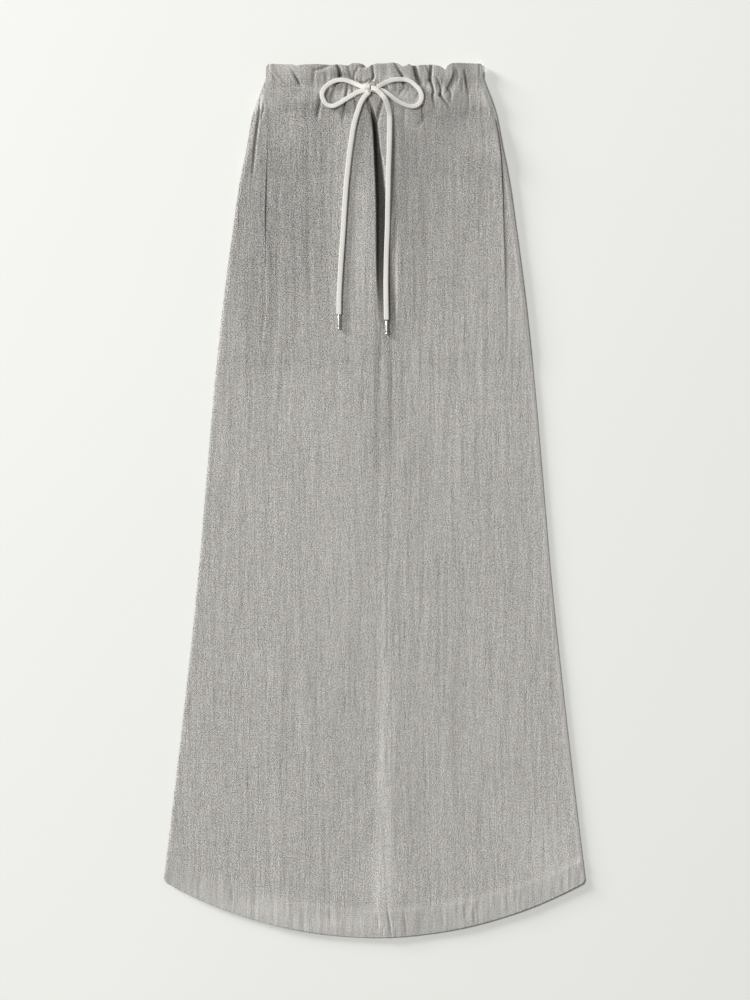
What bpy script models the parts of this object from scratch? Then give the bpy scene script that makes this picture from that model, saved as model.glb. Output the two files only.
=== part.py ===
"""A long drawstring skirt laid flat, front up, its waist towards +Y and its hem towards -Y.

Metres, +Z up. The origin lies on the surface under the middle of the skirt's box. Across the
cloth, a place is x, or u from -1 at the left outline to 1 at the right. Along it, a place is
down, the distance from the waist edge towards the hem.
"""

from collections import namedtuple

import bpy
import numpy as np

# Driving sizes
LENGTH = 1.000
CASING_DEPTH = 0.053
HEM_DEPTH = 0.031
HEM_RISE = 0.0595
HEM_CORNER = 0.010
CORD = 0.006

# Cloth and seams
SINGLE = 0.0012
DOUBLE = 0.0020
POCKET_CLOTH = 0.0010
GAP = 0.0003

# Side outline: half the laid width at each distance from the waist edge
OUTLINE_DOWN = (0.000, 0.022, 0.033, 0.055, 0.077, 0.134, 0.191, 0.248, 0.363, 0.477, 0.592, 0.706, 0.820, 1.000)
OUTLINE_HALF = (0.1215, 0.1245, 0.1302, 0.1378, 0.1424, 0.1539, 0.1622, 0.1699, 0.1825, 0.1925, 0.2023, 0.2143,
                0.2274, 0.2492)

# Relief along the skirt: how far the gathers of the back rise, how far the front's crests stand
# above what is under them, and how far the middle of the front is puffed up by the drawn bow
Relief = namedtuple("Relief", "down back_wave puff bulge")
RELIEF = (
    Relief(0.000, 0.0055, 0.0070, 0.0000),
    Relief(0.026, 0.0040, 0.0045, 0.0010),
    Relief(0.042, 0.0042, 0.0058, 0.0030),
    Relief(0.060, 0.0040, 0.0052, 0.0050),
    Relief(0.090, 0.0022, 0.0034, 0.0066),
    Relief(0.130, 0.0000, 0.0022, 0.0066),
    Relief(0.200, 0.0000, 0.0014, 0.0056),
    Relief(0.270, 0.0000, 0.0010, 0.0038),
    Relief(0.330, 0.0000, 0.0009, 0.0006),
    Relief(0.400, 0.0000, 0.0010, 0.0000),
    Relief(1.000, 0.0000, 0.0006, 0.0000),
)
BULGE_AT = 0.006
BULGE_REACH = 0.048
EDGE_ROLL = 0.014
BACK_ROLL = 0.024
BACK_WAVES = 13
BACK_WAVE_SHIFT = 0.018

# Creases of the front, each a trough through three places: its x and its down at the top, the
# middle and the end, its depth, its reach to the left and to the right, and how far it notches
# the waist edge. The first twelve cross the casing and are in order from left to right
Crease = namedtuple("Crease", "x_top x_mid x_end top mid end depth left right notch")
CREASES = (
    Crease(-0.0940, -0.0865, -0.0830, 0.000, 0.020, 0.040, 0.0034, 0.0050, 0.0042, 0.0024),
    Crease(-0.0690, -0.0640, -0.0665, 0.000, 0.020, 0.064, 0.0044, 0.0040, 0.0045, 0.0010),
    Crease(-0.0425, -0.0395, -0.0370, 0.000, 0.018, 0.074, 0.0062, 0.0040, 0.0034, 0.0014),
    Crease(-0.0285, -0.0250, -0.0240, 0.000, 0.024, 0.066, 0.0046, 0.0034, 0.0034, 0.0000),
    Crease(-0.0125, -0.0130, -0.0150, 0.000, 0.018, 0.036, 0.0046, 0.0034, 0.0034, 0.0034),
    Crease(-0.0022, -0.0016, -0.0070, 0.000, 0.018, 0.044, 0.0062, 0.0032, 0.0036, 0.0010),
    Crease(0.0235, 0.0320, 0.0290, 0.000, 0.018, 0.046, 0.0058, 0.0036, 0.0036, 0.0034),
    Crease(0.0440, 0.0510, 0.0560, 0.000, 0.024, 0.078, 0.0062, 0.0044, 0.0036, 0.0020),
    Crease(0.0620, 0.0655, 0.0700, 0.000, 0.026, 0.060, 0.0062, 0.0036, 0.0038, 0.0010),
    Crease(0.0810, 0.0850, 0.0870, 0.000, 0.022, 0.056, 0.0056, 0.0046, 0.0050, 0.0068),
    Crease(0.1010, 0.1050, 0.1075, 0.000, 0.024, 0.066, 0.0062, 0.0038, 0.0038, 0.0000),
    Crease(0.1195, 0.1190, 0.1230, 0.000, 0.018, 0.050, 0.0020, 0.0036, 0.0030, 0.0000),
    Crease(0.0110, 0.0085, 0.0050, 0.040, 0.052, 0.066, 0.0060, 0.0050, 0.0034, 0.0000),
    Crease(0.0250, 0.0240, 0.0250, 0.036, 0.110, 0.210, 0.0042, 0.0045, 0.0050, 0.0000),
    Crease(-0.1290, -0.1370, -0.1416, 0.042, 0.105, 0.145, 0.0030, 0.0040, 0.0032, 0.0000),
    Crease(-0.0760, -0.0770, -0.0780, 0.090, 0.190, 0.300, 0.0009, 0.0060, 0.0070, 0.0000),
    Crease(0.0040, 0.0050, 0.0030, 0.300, 0.430, 0.600, 0.0009, 0.0050, 0.0050, 0.0000),
    Crease(0.0190, 0.0200, 0.0240, 0.310, 0.440, 0.620, 0.0009, 0.0050, 0.0060, 0.0000),
    Crease(-0.0990, -0.1000, -0.1010, 0.580, 0.740, 0.930, 0.0008, 0.0100, 0.0100, 0.0000),
    Crease(0.0950, 0.0970, 0.0990, 0.520, 0.700, 0.900, 0.0007, 0.0100, 0.0100, 0.0000),
)
CASING_CREASES = 12
FADE = 0.22

# The deep soft pleat under the bow: a sharp lip on its left, its floor, and a gentle right bank
Pleat = namedtuple("Pleat", "down lip width bank depth")
PLEAT = (
    Pleat(0.036, -0.0105, 0.0050, 0.0040, 0.0030),
    Pleat(0.050, -0.0076, 0.0072, 0.0040, 0.0066),
    Pleat(0.073, -0.0029, 0.0100, 0.0040, 0.0076),
    Pleat(0.108, 0.0005, 0.0120, 0.0050, 0.0080),
    Pleat(0.140, 0.0019, 0.0150, 0.0070, 0.0078),
    Pleat(0.172, 0.0026, 0.0170, 0.0090, 0.0072),
    Pleat(0.204, 0.0022, 0.0180, 0.0100, 0.0064),
    Pleat(0.237, 0.0042, 0.0175, 0.0110, 0.0052),
    Pleat(0.270, 0.0070, 0.0150, 0.0100, 0.0034),
    Pleat(0.318, 0.0105, 0.0100, 0.0080, 0.0000),
)
LIP_RUN = 0.0026

# Pocket mouths: the line of each from the casing down, where it is open, and the bag behind it
MOUTH_DOWN = (0.050, 0.070, 0.095, 0.138, 0.178, 0.240, 0.283, 0.340)
Pocket = namedtuple("Pocket", "name side line fold_top fold_end mouth_top mouth_end bag_inner")
POCKETS = (
    Pocket("left", -1, (0.1218, 0.1228, 0.1240, 0.1249, 0.1253, 0.1245, 0.1244, 0.1300), 0.046, 0.345,
           0.088, 0.235, 0.0060),
    Pocket("right", 1, (0.1345, 0.1396, 0.1436, 0.1465, 0.1478, 0.1500, 0.1499, 0.1493), 0.062, 0.345,
           0.080, 0.190, 0.0140),
)
MOUTH_HALF = 0.0009
LAP_UP = 0.0013
LAP_DOWN = 0.0008
LAP_REACH = 0.011
BAG_TOP = 0.057
BAG_END = 0.3215
BAG_INSET = 0.0055
BAG_CORNER = 0.045

# Grids: rows of each piece as shares of its length, and columns as shares or counts of cells
CASING_ROWS = (0.0, 0.16, 0.33, 0.48, 0.64, 0.82, 1.0)
BACK_CASING_ROWS = (0.0, 0.33, 0.64, 1.0)
PANEL_ROWS = (0.0, 0.012, 0.024, 0.040, 0.058, 0.080, 0.105, 0.132, 0.160, 0.188, 0.214, 0.240, 0.264, 0.288, 0.316,
              0.352, 0.395, 0.44, 0.49, 0.545, 0.60, 0.66, 0.72, 0.78, 0.84, 0.895, 0.95, 1.0)
BACK_ROWS = (0.0, 0.020, 0.045, 0.080, 0.132, 0.200, 0.300, 0.440, 0.640, 1.0)
HEM_ROWS = (0.0, 0.40, 0.69, 0.80, 0.90, 0.97, 1.0)
BAG_ROWS = (0.0, 0.08, 0.16, 0.25, 0.4, 0.6, 0.8, 0.88, 0.94, 0.98, 1.0)
BAG_COLUMNS = 6
BACK_COLUMNS = BACK_WAVES * 4
FRONT_HEM_COLUMNS = 52
BACK_HEM_COLUMNS = 28
EDGE_SHARES = (0.0, 0.06, 0.2, 0.5)
CREASE_NEAR = (0.50, 0.18)
CREASE_FAR = (1.15, 0.38)
WIDEST_CELL = 0.0060

# The drawstring: places along the middle of each stretch, and how far each is held above the cloth
LOOP_LEFT = (
    (-0.0094, 0.4733, 0.0030), (-0.0180, 0.4757, 0.0016), (-0.0280, 0.4796, 0.0006), (-0.0372, 0.4806, 0.0004),
    (-0.0452, 0.4796, 0.0004), (-0.0532, 0.4750, 0.0004), (-0.0584, 0.4692, 0.0004), (-0.0601, 0.4634, 0.0004),
    (-0.0584, 0.4577, 0.0004), (-0.0544, 0.4525, 0.0004), (-0.0486, 0.4506, 0.0004), (-0.0418, 0.4524, 0.0004),
    (-0.0338, 0.4572, 0.0006), (-0.0246, 0.4624, 0.0010), (-0.0170, 0.4657, 0.0016), (-0.0094, 0.4667, 0.0022),
)
LOOP_RIGHT = (
    (0.0062, 0.4736, 0.0030), (0.0130, 0.4776, 0.0016), (0.0214, 0.4810, 0.0006), (0.0310, 0.4816, 0.0004),
    (0.0395, 0.4796, 0.0004), (0.0469, 0.4743, 0.0004), (0.0522, 0.4679, 0.0004), (0.0541, 0.4610, 0.0004),
    (0.0522, 0.4552, 0.0004), (0.0479, 0.4512, 0.0004), (0.0416, 0.4504, 0.0004), (0.0352, 0.4520, 0.0004),
    (0.0268, 0.4572, 0.0006), (0.0193, 0.4626, 0.0008), (0.0128, 0.4662, 0.0010), (0.0066, 0.4671, 0.0014),
)
TAIL_LEFT = (
    (-0.0050, 0.4620, 0.0014), (-0.0100, 0.4585, 0.0010), (-0.0160, 0.4505, 0.0006), (-0.0207, 0.4390, 0.0004),
    (-0.0252, 0.4220, 0.0004), (-0.0288, 0.4020, 0.0004), (-0.0315, 0.3776, 0.0004), (-0.0335, 0.3531, 0.0004),
    (-0.0354, 0.3227, 0.0004), (-0.0366, 0.2963, 0.0004), (-0.0380, 0.2693, 0.0004), (-0.0400, 0.2407, 0.0004),
    (-0.0410, 0.2141, 0.0004),
)
TAIL_RIGHT = (
    (0.0070, 0.4676, 0.0080), (0.0104, 0.4646, 0.0080), (0.0136, 0.4598, 0.0074), (0.0163, 0.4520, 0.0044),
    (0.0175, 0.4410, 0.0012), (0.0176, 0.4245, 0.0004), (0.0172, 0.4005, 0.0004), (0.0161, 0.3755, 0.0004),
    (0.0151, 0.3490, 0.0004), (0.0141, 0.3183, 0.0004), (0.0135, 0.2876, 0.0004), (0.0130, 0.2574, 0.0004),
    (0.0130, 0.2265, 0.0004), (0.0135, 0.2071, 0.0004),
)
LOOP_POINTS = 19
TAIL_POINTS = 18
AGLET_LENGTH = 0.0175
AGLET_RADIUS = 0.0019
KNOT_AT = (-0.0016, 0.4696)
KNOT_HALF = (0.0070, 0.0070, 0.0060)
KNOT_SQUARE = 3
KNOT_LIFT = 0.0018

CLOTH_COLOUR = (0.400, 0.382, 0.352)
INNER_COLOUR = (0.360, 0.345, 0.318)
CORD_COLOUR = (0.760, 0.735, 0.680)
METAL_COLOUR = (0.700, 0.690, 0.670)


def through(at, places, values):
    """The smooth curve through values at places, read at the places in at."""
    places = np.asarray(places, float)
    values = np.asarray(values, float)
    slopes = np.gradient(values, places)
    at = np.clip(at, places[0], places[-1])
    left = np.clip(np.searchsorted(places, at, side="right") - 1, 0, len(places) - 2)
    span = places[left + 1] - places[left]
    t = (at - places[left]) / span
    rise = t * t * (3 - 2 * t)
    return (
        values[left] * (1 - rise)
        + values[left + 1] * rise
        + slopes[left] * span * t * (1 - t) ** 2
        - slopes[left + 1] * span * t * t * (1 - t)
    )


def eased(t):
    """0 below 0, 1 above 1, and smooth between."""
    t = np.clip(t, 0, 1)
    return t * t * (3 - 2 * t)


def half_width(down):
    return through(down, OUTLINE_DOWN, OUTLINE_HALF)


def relief(down, column):
    return np.interp(down, [row.down for row in RELIEF], [getattr(row, column) for row in RELIEF])


def roll(x, down, reach):
    """How far the cloth has turned up from the outline: 0 on it, 1 from reach inside it."""
    inside = np.clip((half_width(down) - np.abs(x)) / reach, 0, 1)
    return np.sqrt(np.maximum(0, 1 - (1 - inside) ** 2))


def back_under(x, down):
    """Underside of the back: flat on the surface, and waved where the waist is drawn in."""
    place = (x / half_width(down) + 1) / 2
    uneven = place + BACK_WAVE_SHIFT * np.sin(5.3 * place * np.pi)
    wave = 0.5 - 0.5 * np.cos(2 * np.pi * BACK_WAVES * uneven)
    height = relief(down, "back_wave")
    turned = roll(x, down, BACK_ROLL)
    return height * (wave * turned + 0.5 * (1 - turned))


def cloth_of(down):
    return np.where(down < CASING_DEPTH + GAP / 2, DOUBLE, SINGLE)


def bag_under(down):
    """Level just above every crest of the back, where the pocket bags lie."""
    return relief(down, "back_wave") + cloth_of(down) + GAP


def stack(down):
    """Level just above the back and, as far down as they reach, the pocket bags."""
    bags = 1 - eased((down - BAG_END - 0.004) / 0.03)
    return bag_under(down) + (POCKET_CLOTH + GAP) * bags


def crease_line(crease, down):
    return through(down, (crease.top, crease.mid, crease.end), (crease.x_top, crease.x_mid, crease.x_end))


def crease_depth(x, down):
    """How far all the creases together press the front down."""
    total = np.zeros(np.broadcast(x, down).shape)
    for crease in CREASES:
        length = crease.end - crease.top
        along = (down - crease.top) / length
        strength = eased((1 - along) / (2 * FADE))
        if crease.top > 0:
            strength = strength * eased(along / FADE)
        away = x - crease_line(crease, down)
        reach = np.where(away < 0, crease.left, crease.right)
        total = total + crease.depth * strength * np.exp(-((away / reach) ** 2))
    return total


def pleat(down, column):
    return through(down, [row.down for row in PLEAT], [getattr(row, column) for row in PLEAT])


def pleat_depth(x, down):
    """The pleat under the bow, which drops over its lip and climbs its right bank."""
    inside = (down > PLEAT[0].down) & (down < PLEAT[-1].down)
    depth = np.where(inside, np.maximum(pleat(down, "depth"), 0), 0)
    from_lip = x - pleat(down, "lip")
    falls = eased(from_lip / LIP_RUN)
    climbs = eased((from_lip - pleat(down, "width")) / pleat(down, "bank") + 0.5)
    return depth * falls * (1 - climbs)


def mouth_line(pocket, down):
    return pocket.side * through(down, MOUTH_DOWN, pocket.line)


def lap(x, down):
    """At a pocket mouth the front's edge lies on the cloth beside it."""
    total = np.zeros(np.broadcast(x, down).shape)
    for pocket in POCKETS:
        outward = (x - mouth_line(pocket, down)) * pocket.side
        length = pocket.fold_end - pocket.fold_top
        along = (down - pocket.fold_top) / length
        strength = eased(along / 0.1) * eased((1 - along) / 0.3)
        inner = LAP_UP * np.exp(-np.clip(-outward, 0, 1) / LAP_REACH)
        outer = -LAP_DOWN * np.exp(-np.clip(outward, 0, 1) / LAP_REACH)
        total = total + strength * (inner + (outer - inner) * eased(outward / (2 * MOUTH_HALF) + 0.5))
    return total


def front_under(x, down):
    """Underside of the front: clear of what is below it, puffed up, creased, and rolled down at the sides."""
    floor = stack(down)
    bulge = relief(down, "bulge") * np.exp(-(((x - BULGE_AT) / BULGE_REACH) ** 2))
    crest = relief(down, "puff") + bulge + lap(x, down)
    height = np.maximum(crest - crease_depth(x, down) - pleat_depth(x, down), 0.0001)
    edge = 0.5 * relief(down, "back_wave") + cloth_of(down) + GAP
    turned = roll(x, down, EDGE_ROLL)
    return edge + (floor + height - edge) * turned


def notch(x):
    """How far the gathers pull the waist edge down."""
    total = np.zeros(np.shape(x))
    for crease in CREASES:
        total = total + crease.notch * np.exp(-(((x - crease.x_top) / (crease.left + crease.right)) ** 2))
    return total


def clear_scene():
    for obj in list(bpy.data.objects):
        bpy.data.objects.remove(obj)


def material(name, colour, roughness, metallic=0.0):
    made = bpy.data.materials.new(name)
    made.use_nodes = True
    shader = made.node_tree.nodes["Principled BSDF"]
    shader.inputs["Base Color"].default_value = (*colour, 1)
    shader.inputs["Roughness"].default_value = roughness
    shader.inputs["Metallic"].default_value = metallic
    return made


def place(name, vertices, faces, finish):
    mesh = bpy.data.meshes.new(name)
    mesh.from_pydata([tuple(map(float, v)) for v in vertices], [], faces)
    mesh.materials.append(finish)
    mesh.shade_smooth()
    mesh.set_sharp_from_angle(angle=np.radians(50))
    obj = bpy.data.objects.new(name, mesh)
    bpy.context.scene.collection.objects.link(obj)
    return obj


def wall(name, x, down, under, thickness, finish, cut=None):
    """A closed wall over a grid of places: its underside, its upper side, and rims round its edge
    and round the cells that cut marks as open."""
    rows, columns = x.shape
    y = LENGTH / 2 - down
    lower = np.stack([x, y, under], axis=-1).reshape(-1, 3)
    upper = np.stack([x, y, under + thickness], axis=-1).reshape(-1, 3)
    kept = np.ones((rows - 1, columns - 1), bool) if cut is None else ~cut
    count = rows * columns
    faces = []
    rims = {}
    for i, j in zip(*np.nonzero(kept)):
        ring = [i * columns + j, (i + 1) * columns + j, (i + 1) * columns + j + 1, i * columns + j + 1]
        faces.append([int(v) + count for v in ring])
        faces.append([int(v) for v in reversed(ring)])
        for a, b in zip(ring, ring[1:] + ring[:1]):
            if (b, a) in rims:
                del rims[(b, a)]
            else:
                rims[(a, b)] = True
    for a, b in rims:
        faces.append([int(a), int(b), int(b) + count, int(a) + count])
    vertices = np.concatenate([lower, upper])
    used = sorted({v for face in faces for v in face})
    renamed = {v: k for k, v in enumerate(used)}
    return place(name, vertices[used], [[renamed[v] for v in face] for face in faces], finish)


def spread(count):
    """Even columns from outline to outline, closer together where the cloth rolls down at each side."""
    step = 2 / count
    left = [-1 + step * share for share in EDGE_SHARES]
    inner = list(np.linspace(-1 + step, 1 - step, count - 1))
    return np.array(left + inner + [-u for u in reversed(left)])


def between(guides, counts):
    """Columns that follow guide lines, with counts of cells from each guide to the next."""
    columns = [guides[0]]
    for left, right, count in zip(guides, guides[1:], counts):
        columns += [left + (right - left) * k / count for k in range(1, count + 1)]
    return np.stack(columns, axis=-1)


def casing_columns(down):
    """Columns of the front casing at each row: on every crease, on both its banks, and between."""
    half = half_width(down)
    creases = CREASES[:CASING_CREASES]
    lines = [crease_line(crease, down) for crease in creases]
    room = (lines[0] + half) / 2
    guides = [-half, -half + 0.06 * room, -half + 0.25 * room, -half + 0.6 * room]
    counts = [1, 1, 1]
    for k, (crease, line) in enumerate(zip(creases, lines)):
        before = line - (lines[k - 1] if k else -half)
        after = (lines[k + 1] if k + 1 < len(lines) else half) - line
        banks = [
            line - np.minimum(CREASE_FAR[0] * crease.left, CREASE_FAR[1] * before),
            line - np.minimum(CREASE_NEAR[0] * crease.left, CREASE_NEAR[1] * before),
            line,
            line + np.minimum(CREASE_NEAR[0] * crease.right, CREASE_NEAR[1] * after),
            line + np.minimum(CREASE_FAR[0] * crease.right, CREASE_FAR[1] * after),
        ]
        widest = (banks[0] - guides[-1]).max()
        counts += [max(1, int(np.ceil(widest / WIDEST_CELL))), 1, 1, 1, 1]
        guides += banks
    rest = half - guides[-1]
    guides += [half - 0.5 * rest, half - 0.2 * rest, half - 0.05 * rest, half]
    counts += [1, 1, 1, 1]
    return between(guides, counts)


def hem_stitch(u):
    return LENGTH - HEM_RISE * u**2 - HEM_DEPTH


def hem_grid(u, rows):
    """Places of the turned hem, its two corners rounded off."""
    share = np.array(rows)[:, None]
    down = hem_stitch(u)[None, :] + GAP + (HEM_DEPTH - GAP) * share
    to_edge = HEM_DEPTH * (1 - share)
    turn = np.clip(HEM_CORNER - to_edge, 0, HEM_CORNER)
    inset = HEM_CORNER - np.sqrt(HEM_CORNER**2 - turn**2)
    return u[None, :] * (half_width(down) - inset), down


def panel_down(u, rows):
    """Rows of a panel, straight below the casing and bent like the hem at its stitch line."""
    top = CASING_DEPTH + GAP
    share = np.array(rows)[:, None]
    return top + (LENGTH - HEM_DEPTH - top) * share - HEM_RISE * u**2 * share**3


def front_columns(down):
    """Columns of the front panel at each row, which follow the pocket mouths, the pleat and two creases."""
    half = half_width(down)
    lip = pleat(down, "lip")
    floor_end = lip + pleat(down, "width") - pleat(down, "bank") / 2
    left_crease = crease_line(CREASES[2], down)
    right_crease = crease_line(CREASES[7], down)
    left, right = (np.minimum(np.abs(mouth_line(pocket, down)), half - MOUTH_HALF - 0.0008) for pocket in POCKETS)
    low = eased((down - MOUTH_DOWN[-1]) / 0.15)
    left = left * (1 - low) + (half - 0.034) * low
    right = right * (1 - low) + (half - 0.034) * low
    room_left = half - left - MOUTH_HALF
    room_right = half - right - MOUTH_HALF
    guides = [
        -half, -half + 0.05 * room_left, -half + 0.18 * room_left, -half + 0.45 * room_left, -left - MOUTH_HALF,
        -left + MOUTH_HALF, left_crease - 0.0035, left_crease, left_crease + 0.0035, lip, lip + LIP_RUN, floor_end,
        floor_end + pleat(down, "bank"), right_crease - 0.0040, right_crease, right_crease + 0.0035,
        right - MOUTH_HALF, right + MOUTH_HALF, half - 0.45 * room_right, half - 0.18 * room_right,
        half - 0.05 * room_right, half,
    ]
    counts = (1, 1, 1, 2, 1, 8, 1, 1, 5, 1, 2, 2, 3, 1, 1, 8, 1, 1, 1, 1, 1)
    return between([guide / half for guide in guides], counts)


def mouth_cells(x, down, pocket):
    """Cells of the front that are open at a pocket mouth."""
    middle_x = (x[:-1, :-1] + x[:-1, 1:] + x[1:, :-1] + x[1:, 1:]) / 4
    middle_down = (down[:-1, :-1] + down[:-1, 1:] + down[1:, :-1] + down[1:, 1:]) / 4
    on_line = np.abs(middle_x - mouth_line(pocket, middle_down)) < MOUTH_HALF / 2
    return on_line & (middle_down > pocket.mouth_top) & (middle_down < pocket.mouth_end)


def build_back(finish):
    u = spread(BACK_COLUMNS)[None, :]
    down = CASING_DEPTH * np.array(BACK_CASING_ROWS)[:, None] + 0 * u
    x = u * half_width(down)
    wall("back_casing", x, down, back_under(x, down), DOUBLE, finish)
    down = panel_down(u, BACK_ROWS)
    x = u * half_width(down)
    wall("back_panel", x, down, back_under(x, down), SINGLE, finish)
    x, down = hem_grid(np.linspace(-1, 1, BACK_HEM_COLUMNS + 1), HEM_ROWS)
    wall("back_hem", x, down, back_under(x, down), SINGLE, finish)


def build_front(finish):
    rows = CASING_DEPTH * np.array(CASING_ROWS)
    x = casing_columns(rows)
    down = rows[:, None] + notch(x) * (1 - np.array(CASING_ROWS))[:, None]
    wall("front_casing", x, down, front_under(x, down), DOUBLE, finish)

    u = front_columns(panel_down(0, PANEL_ROWS)[:, 0])
    down = panel_down(u, PANEL_ROWS)
    x = u * half_width(down)
    cut = mouth_cells(x, down, POCKETS[0]) | mouth_cells(x, down, POCKETS[1])
    wall("front_panel", x, down, front_under(x, down), SINGLE, finish, cut)

    x, down = hem_grid(np.linspace(-1, 1, FRONT_HEM_COLUMNS + 1), HEM_ROWS)
    wall("front_hem", x, down, front_under(x, down), DOUBLE, finish)


def build_pocket(pocket, finish):
    """A flat bag between back and front, from just inside the side seam towards the middle."""
    across = np.linspace(0, 1, BAG_COLUMNS + 1)[None, :]
    down = BAG_TOP + (BAG_END - BAG_TOP) * np.array(BAG_ROWS)[:, None] + 0 * across
    turn = np.clip(BAG_CORNER - (BAG_END - down), 0, BAG_CORNER)
    inset = (BAG_CORNER - np.sqrt(BAG_CORNER**2 - turn**2)) / 2
    outer = half_width(down) - BAG_INSET - inset
    inner = pocket.side * pocket.bag_inner + inset
    x = pocket.side * (inner + (outer - inner) * across)
    if pocket.side < 0:
        x = x[:, ::-1]
    wall("pocket_" + pocket.name, x, down, bag_under(down), POCKET_CLOTH, finish)


def resting(x, y, radius):
    """Height of the middle of a ball of this radius that lies on the front at a place."""
    turns = np.arange(12) * np.pi / 6
    rings = np.array((0, 0.4, 0.7, 1.0, 1.3)) * radius
    away_x = (rings[:, None] * np.cos(turns)).ravel()
    away_y = (rings[:, None] * np.sin(turns)).ravel()
    down = np.maximum(LENGTH / 2 - np.atleast_1d(y)[:, None] - away_y, 0)
    top = front_under(np.atleast_1d(x)[:, None] + away_x, down) + cloth_of(down)
    return (top + np.sqrt(np.maximum(radius**2 - away_x**2 - away_y**2, 0))).max(axis=1)


def highest_near(heights):
    """Each height smoothed along the cord and never below what lies under it there."""
    wide = np.pad(heights, 2, mode="edge")
    highest = np.maximum(np.maximum(wide[:-2], wide[1:-1]), wide[2:])
    return (highest[:-2] + highest[1:-1] + highest[2:]) / 3


def along_route(route, count):
    """Evenly spaced points on a smooth curve through a cord's own places, laid on the front."""
    route = np.array(route)
    places = np.concatenate([[0], np.cumsum(np.linalg.norm(np.diff(route, axis=0), axis=1))])
    even = np.linspace(0, places[-1], count)
    x, y, held = (through(even, places, route[:, axis]) for axis in range(3))
    return np.stack([x, y, highest_near(resting(x, y, CORD / 2)) + held], axis=1)


def tube(name, points, radius, finish):
    curve = bpy.data.curves.new(name, "CURVE")
    curve.dimensions = "3D"
    curve.bevel_depth = radius
    curve.bevel_resolution = 2
    curve.use_fill_caps = True
    spline = curve.splines.new("POLY")
    spline.points.add(len(points) - 1)
    for point, co in zip(spline.points, points):
        point.co = (*co, 1)
    curve.materials.append(finish)
    obj = bpy.data.objects.new(name, curve)
    bpy.context.scene.collection.objects.link(obj)
    return obj


def build_drawstring(cord_finish, metal_finish):
    tube("drawstring_loop_left", along_route(LOOP_LEFT, LOOP_POINTS), CORD / 2, cord_finish)
    tube("drawstring_loop_right", along_route(LOOP_RIGHT, LOOP_POINTS), CORD / 2, cord_finish)
    for side, route in (("left", TAIL_LEFT), ("right", TAIL_RIGHT)):
        points = along_route(route, TAIL_POINTS)
        tube("drawstring_tail_" + side, points, CORD / 2, cord_finish)
        out = points[-1] - points[-2]
        out = out / np.linalg.norm(out)
        start = points[-1] + out * GAP
        tube("aglet_" + side, [start, start + out * AGLET_LENGTH], AGLET_RADIUS, metal_finish)


def build_knot(finish):
    """The drawn-up knot of the bow, a squarish ball between the loops."""
    rings, sides = 8, 12
    vertices = [(0, 0, -1)]
    for ring in range(1, rings):
        tilt = np.pi * ring / rings - np.pi / 2
        for side in range(sides):
            turn = 2 * np.pi * side / sides
            vertices.append((np.cos(tilt) * np.cos(turn), np.cos(tilt) * np.sin(turn), np.sin(tilt)))
    vertices.append((0, 0, 1))
    last = len(vertices) - 1
    faces = []
    for side in range(sides):
        after = (side + 1) % sides
        faces.append([0, 1 + after, 1 + side])
        faces.append([last, last - sides + side, last - sides + after])
        for ring in range(rings - 2):
            low = 1 + ring * sides
            faces.append([low + side, low + after, low + sides + after, low + sides + side])
    round_ball = np.array(vertices)
    squared = round_ball / (np.abs(round_ball) ** KNOT_SQUARE).sum(axis=1, keepdims=True) ** (1 / KNOT_SQUARE)
    under = resting(KNOT_AT[0], KNOT_AT[1], max(KNOT_HALF))[0] - max(KNOT_HALF)
    middle = np.array((*KNOT_AT, under + KNOT_HALF[2] + KNOT_LIFT))
    place("drawstring_knot", middle + squared * KNOT_HALF, faces, finish)


def main():
    clear_scene()
    cloth = material("cloth", CLOTH_COLOUR, 0.9)
    inner = material("inner_cloth", INNER_COLOUR, 0.9)
    cord = material("cord", CORD_COLOUR, 0.8)
    metal = material("metal", METAL_COLOUR, 0.3, 1.0)
    build_back(cloth)
    build_front(cloth)
    for pocket in POCKETS:
        build_pocket(pocket, inner)
    build_drawstring(cord, metal)
    build_knot(cord)


main()
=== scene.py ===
"""The drawstring skirt, dressed: thin gathered cloth, stitching, a braided cord in a bow, metal cord
ends, a pale floor and soft light from the upper left.

Metres, +Z up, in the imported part's own frame. A place on the cloth is x and down, the distance from
the waist edge towards the hem. The cloth's folds and tones are placed in pixels of the photograph,
which looks straight down at 1.144 mm a pixel.
"""

import math
from collections import namedtuple

import bpy
import numpy as np
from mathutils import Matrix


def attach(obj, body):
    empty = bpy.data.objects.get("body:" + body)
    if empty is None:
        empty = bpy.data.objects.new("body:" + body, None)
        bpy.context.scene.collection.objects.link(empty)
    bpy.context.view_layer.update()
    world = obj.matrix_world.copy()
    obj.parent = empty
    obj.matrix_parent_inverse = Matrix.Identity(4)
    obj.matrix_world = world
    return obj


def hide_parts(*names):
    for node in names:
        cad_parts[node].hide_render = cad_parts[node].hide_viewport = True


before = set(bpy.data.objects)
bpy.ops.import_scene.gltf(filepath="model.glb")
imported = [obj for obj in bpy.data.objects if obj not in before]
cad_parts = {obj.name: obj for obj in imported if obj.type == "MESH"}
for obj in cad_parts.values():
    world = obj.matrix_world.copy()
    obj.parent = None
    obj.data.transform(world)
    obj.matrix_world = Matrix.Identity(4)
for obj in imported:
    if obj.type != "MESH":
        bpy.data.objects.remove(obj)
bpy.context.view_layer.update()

# The photograph's scale and its own places: the middle of the skirt, the waist edge and the frame
PIXEL = 0.001144
MIDDLE_PX = 374.5
WAIST_PX = 63.0
FRAME_MIDDLE_PX = 375.0
LENS_MM = 150.0
SENSOR_MM = 36.0
FRAME_HEIGHT_PX = 1000
FOCUS_HEIGHT = 0.003
CAMERA_DISTANCE = FRAME_HEIGHT_PX * PIXEL * LENS_MM / SENSOR_MM
CAMERA_CLIP = (0.1, 30)

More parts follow.
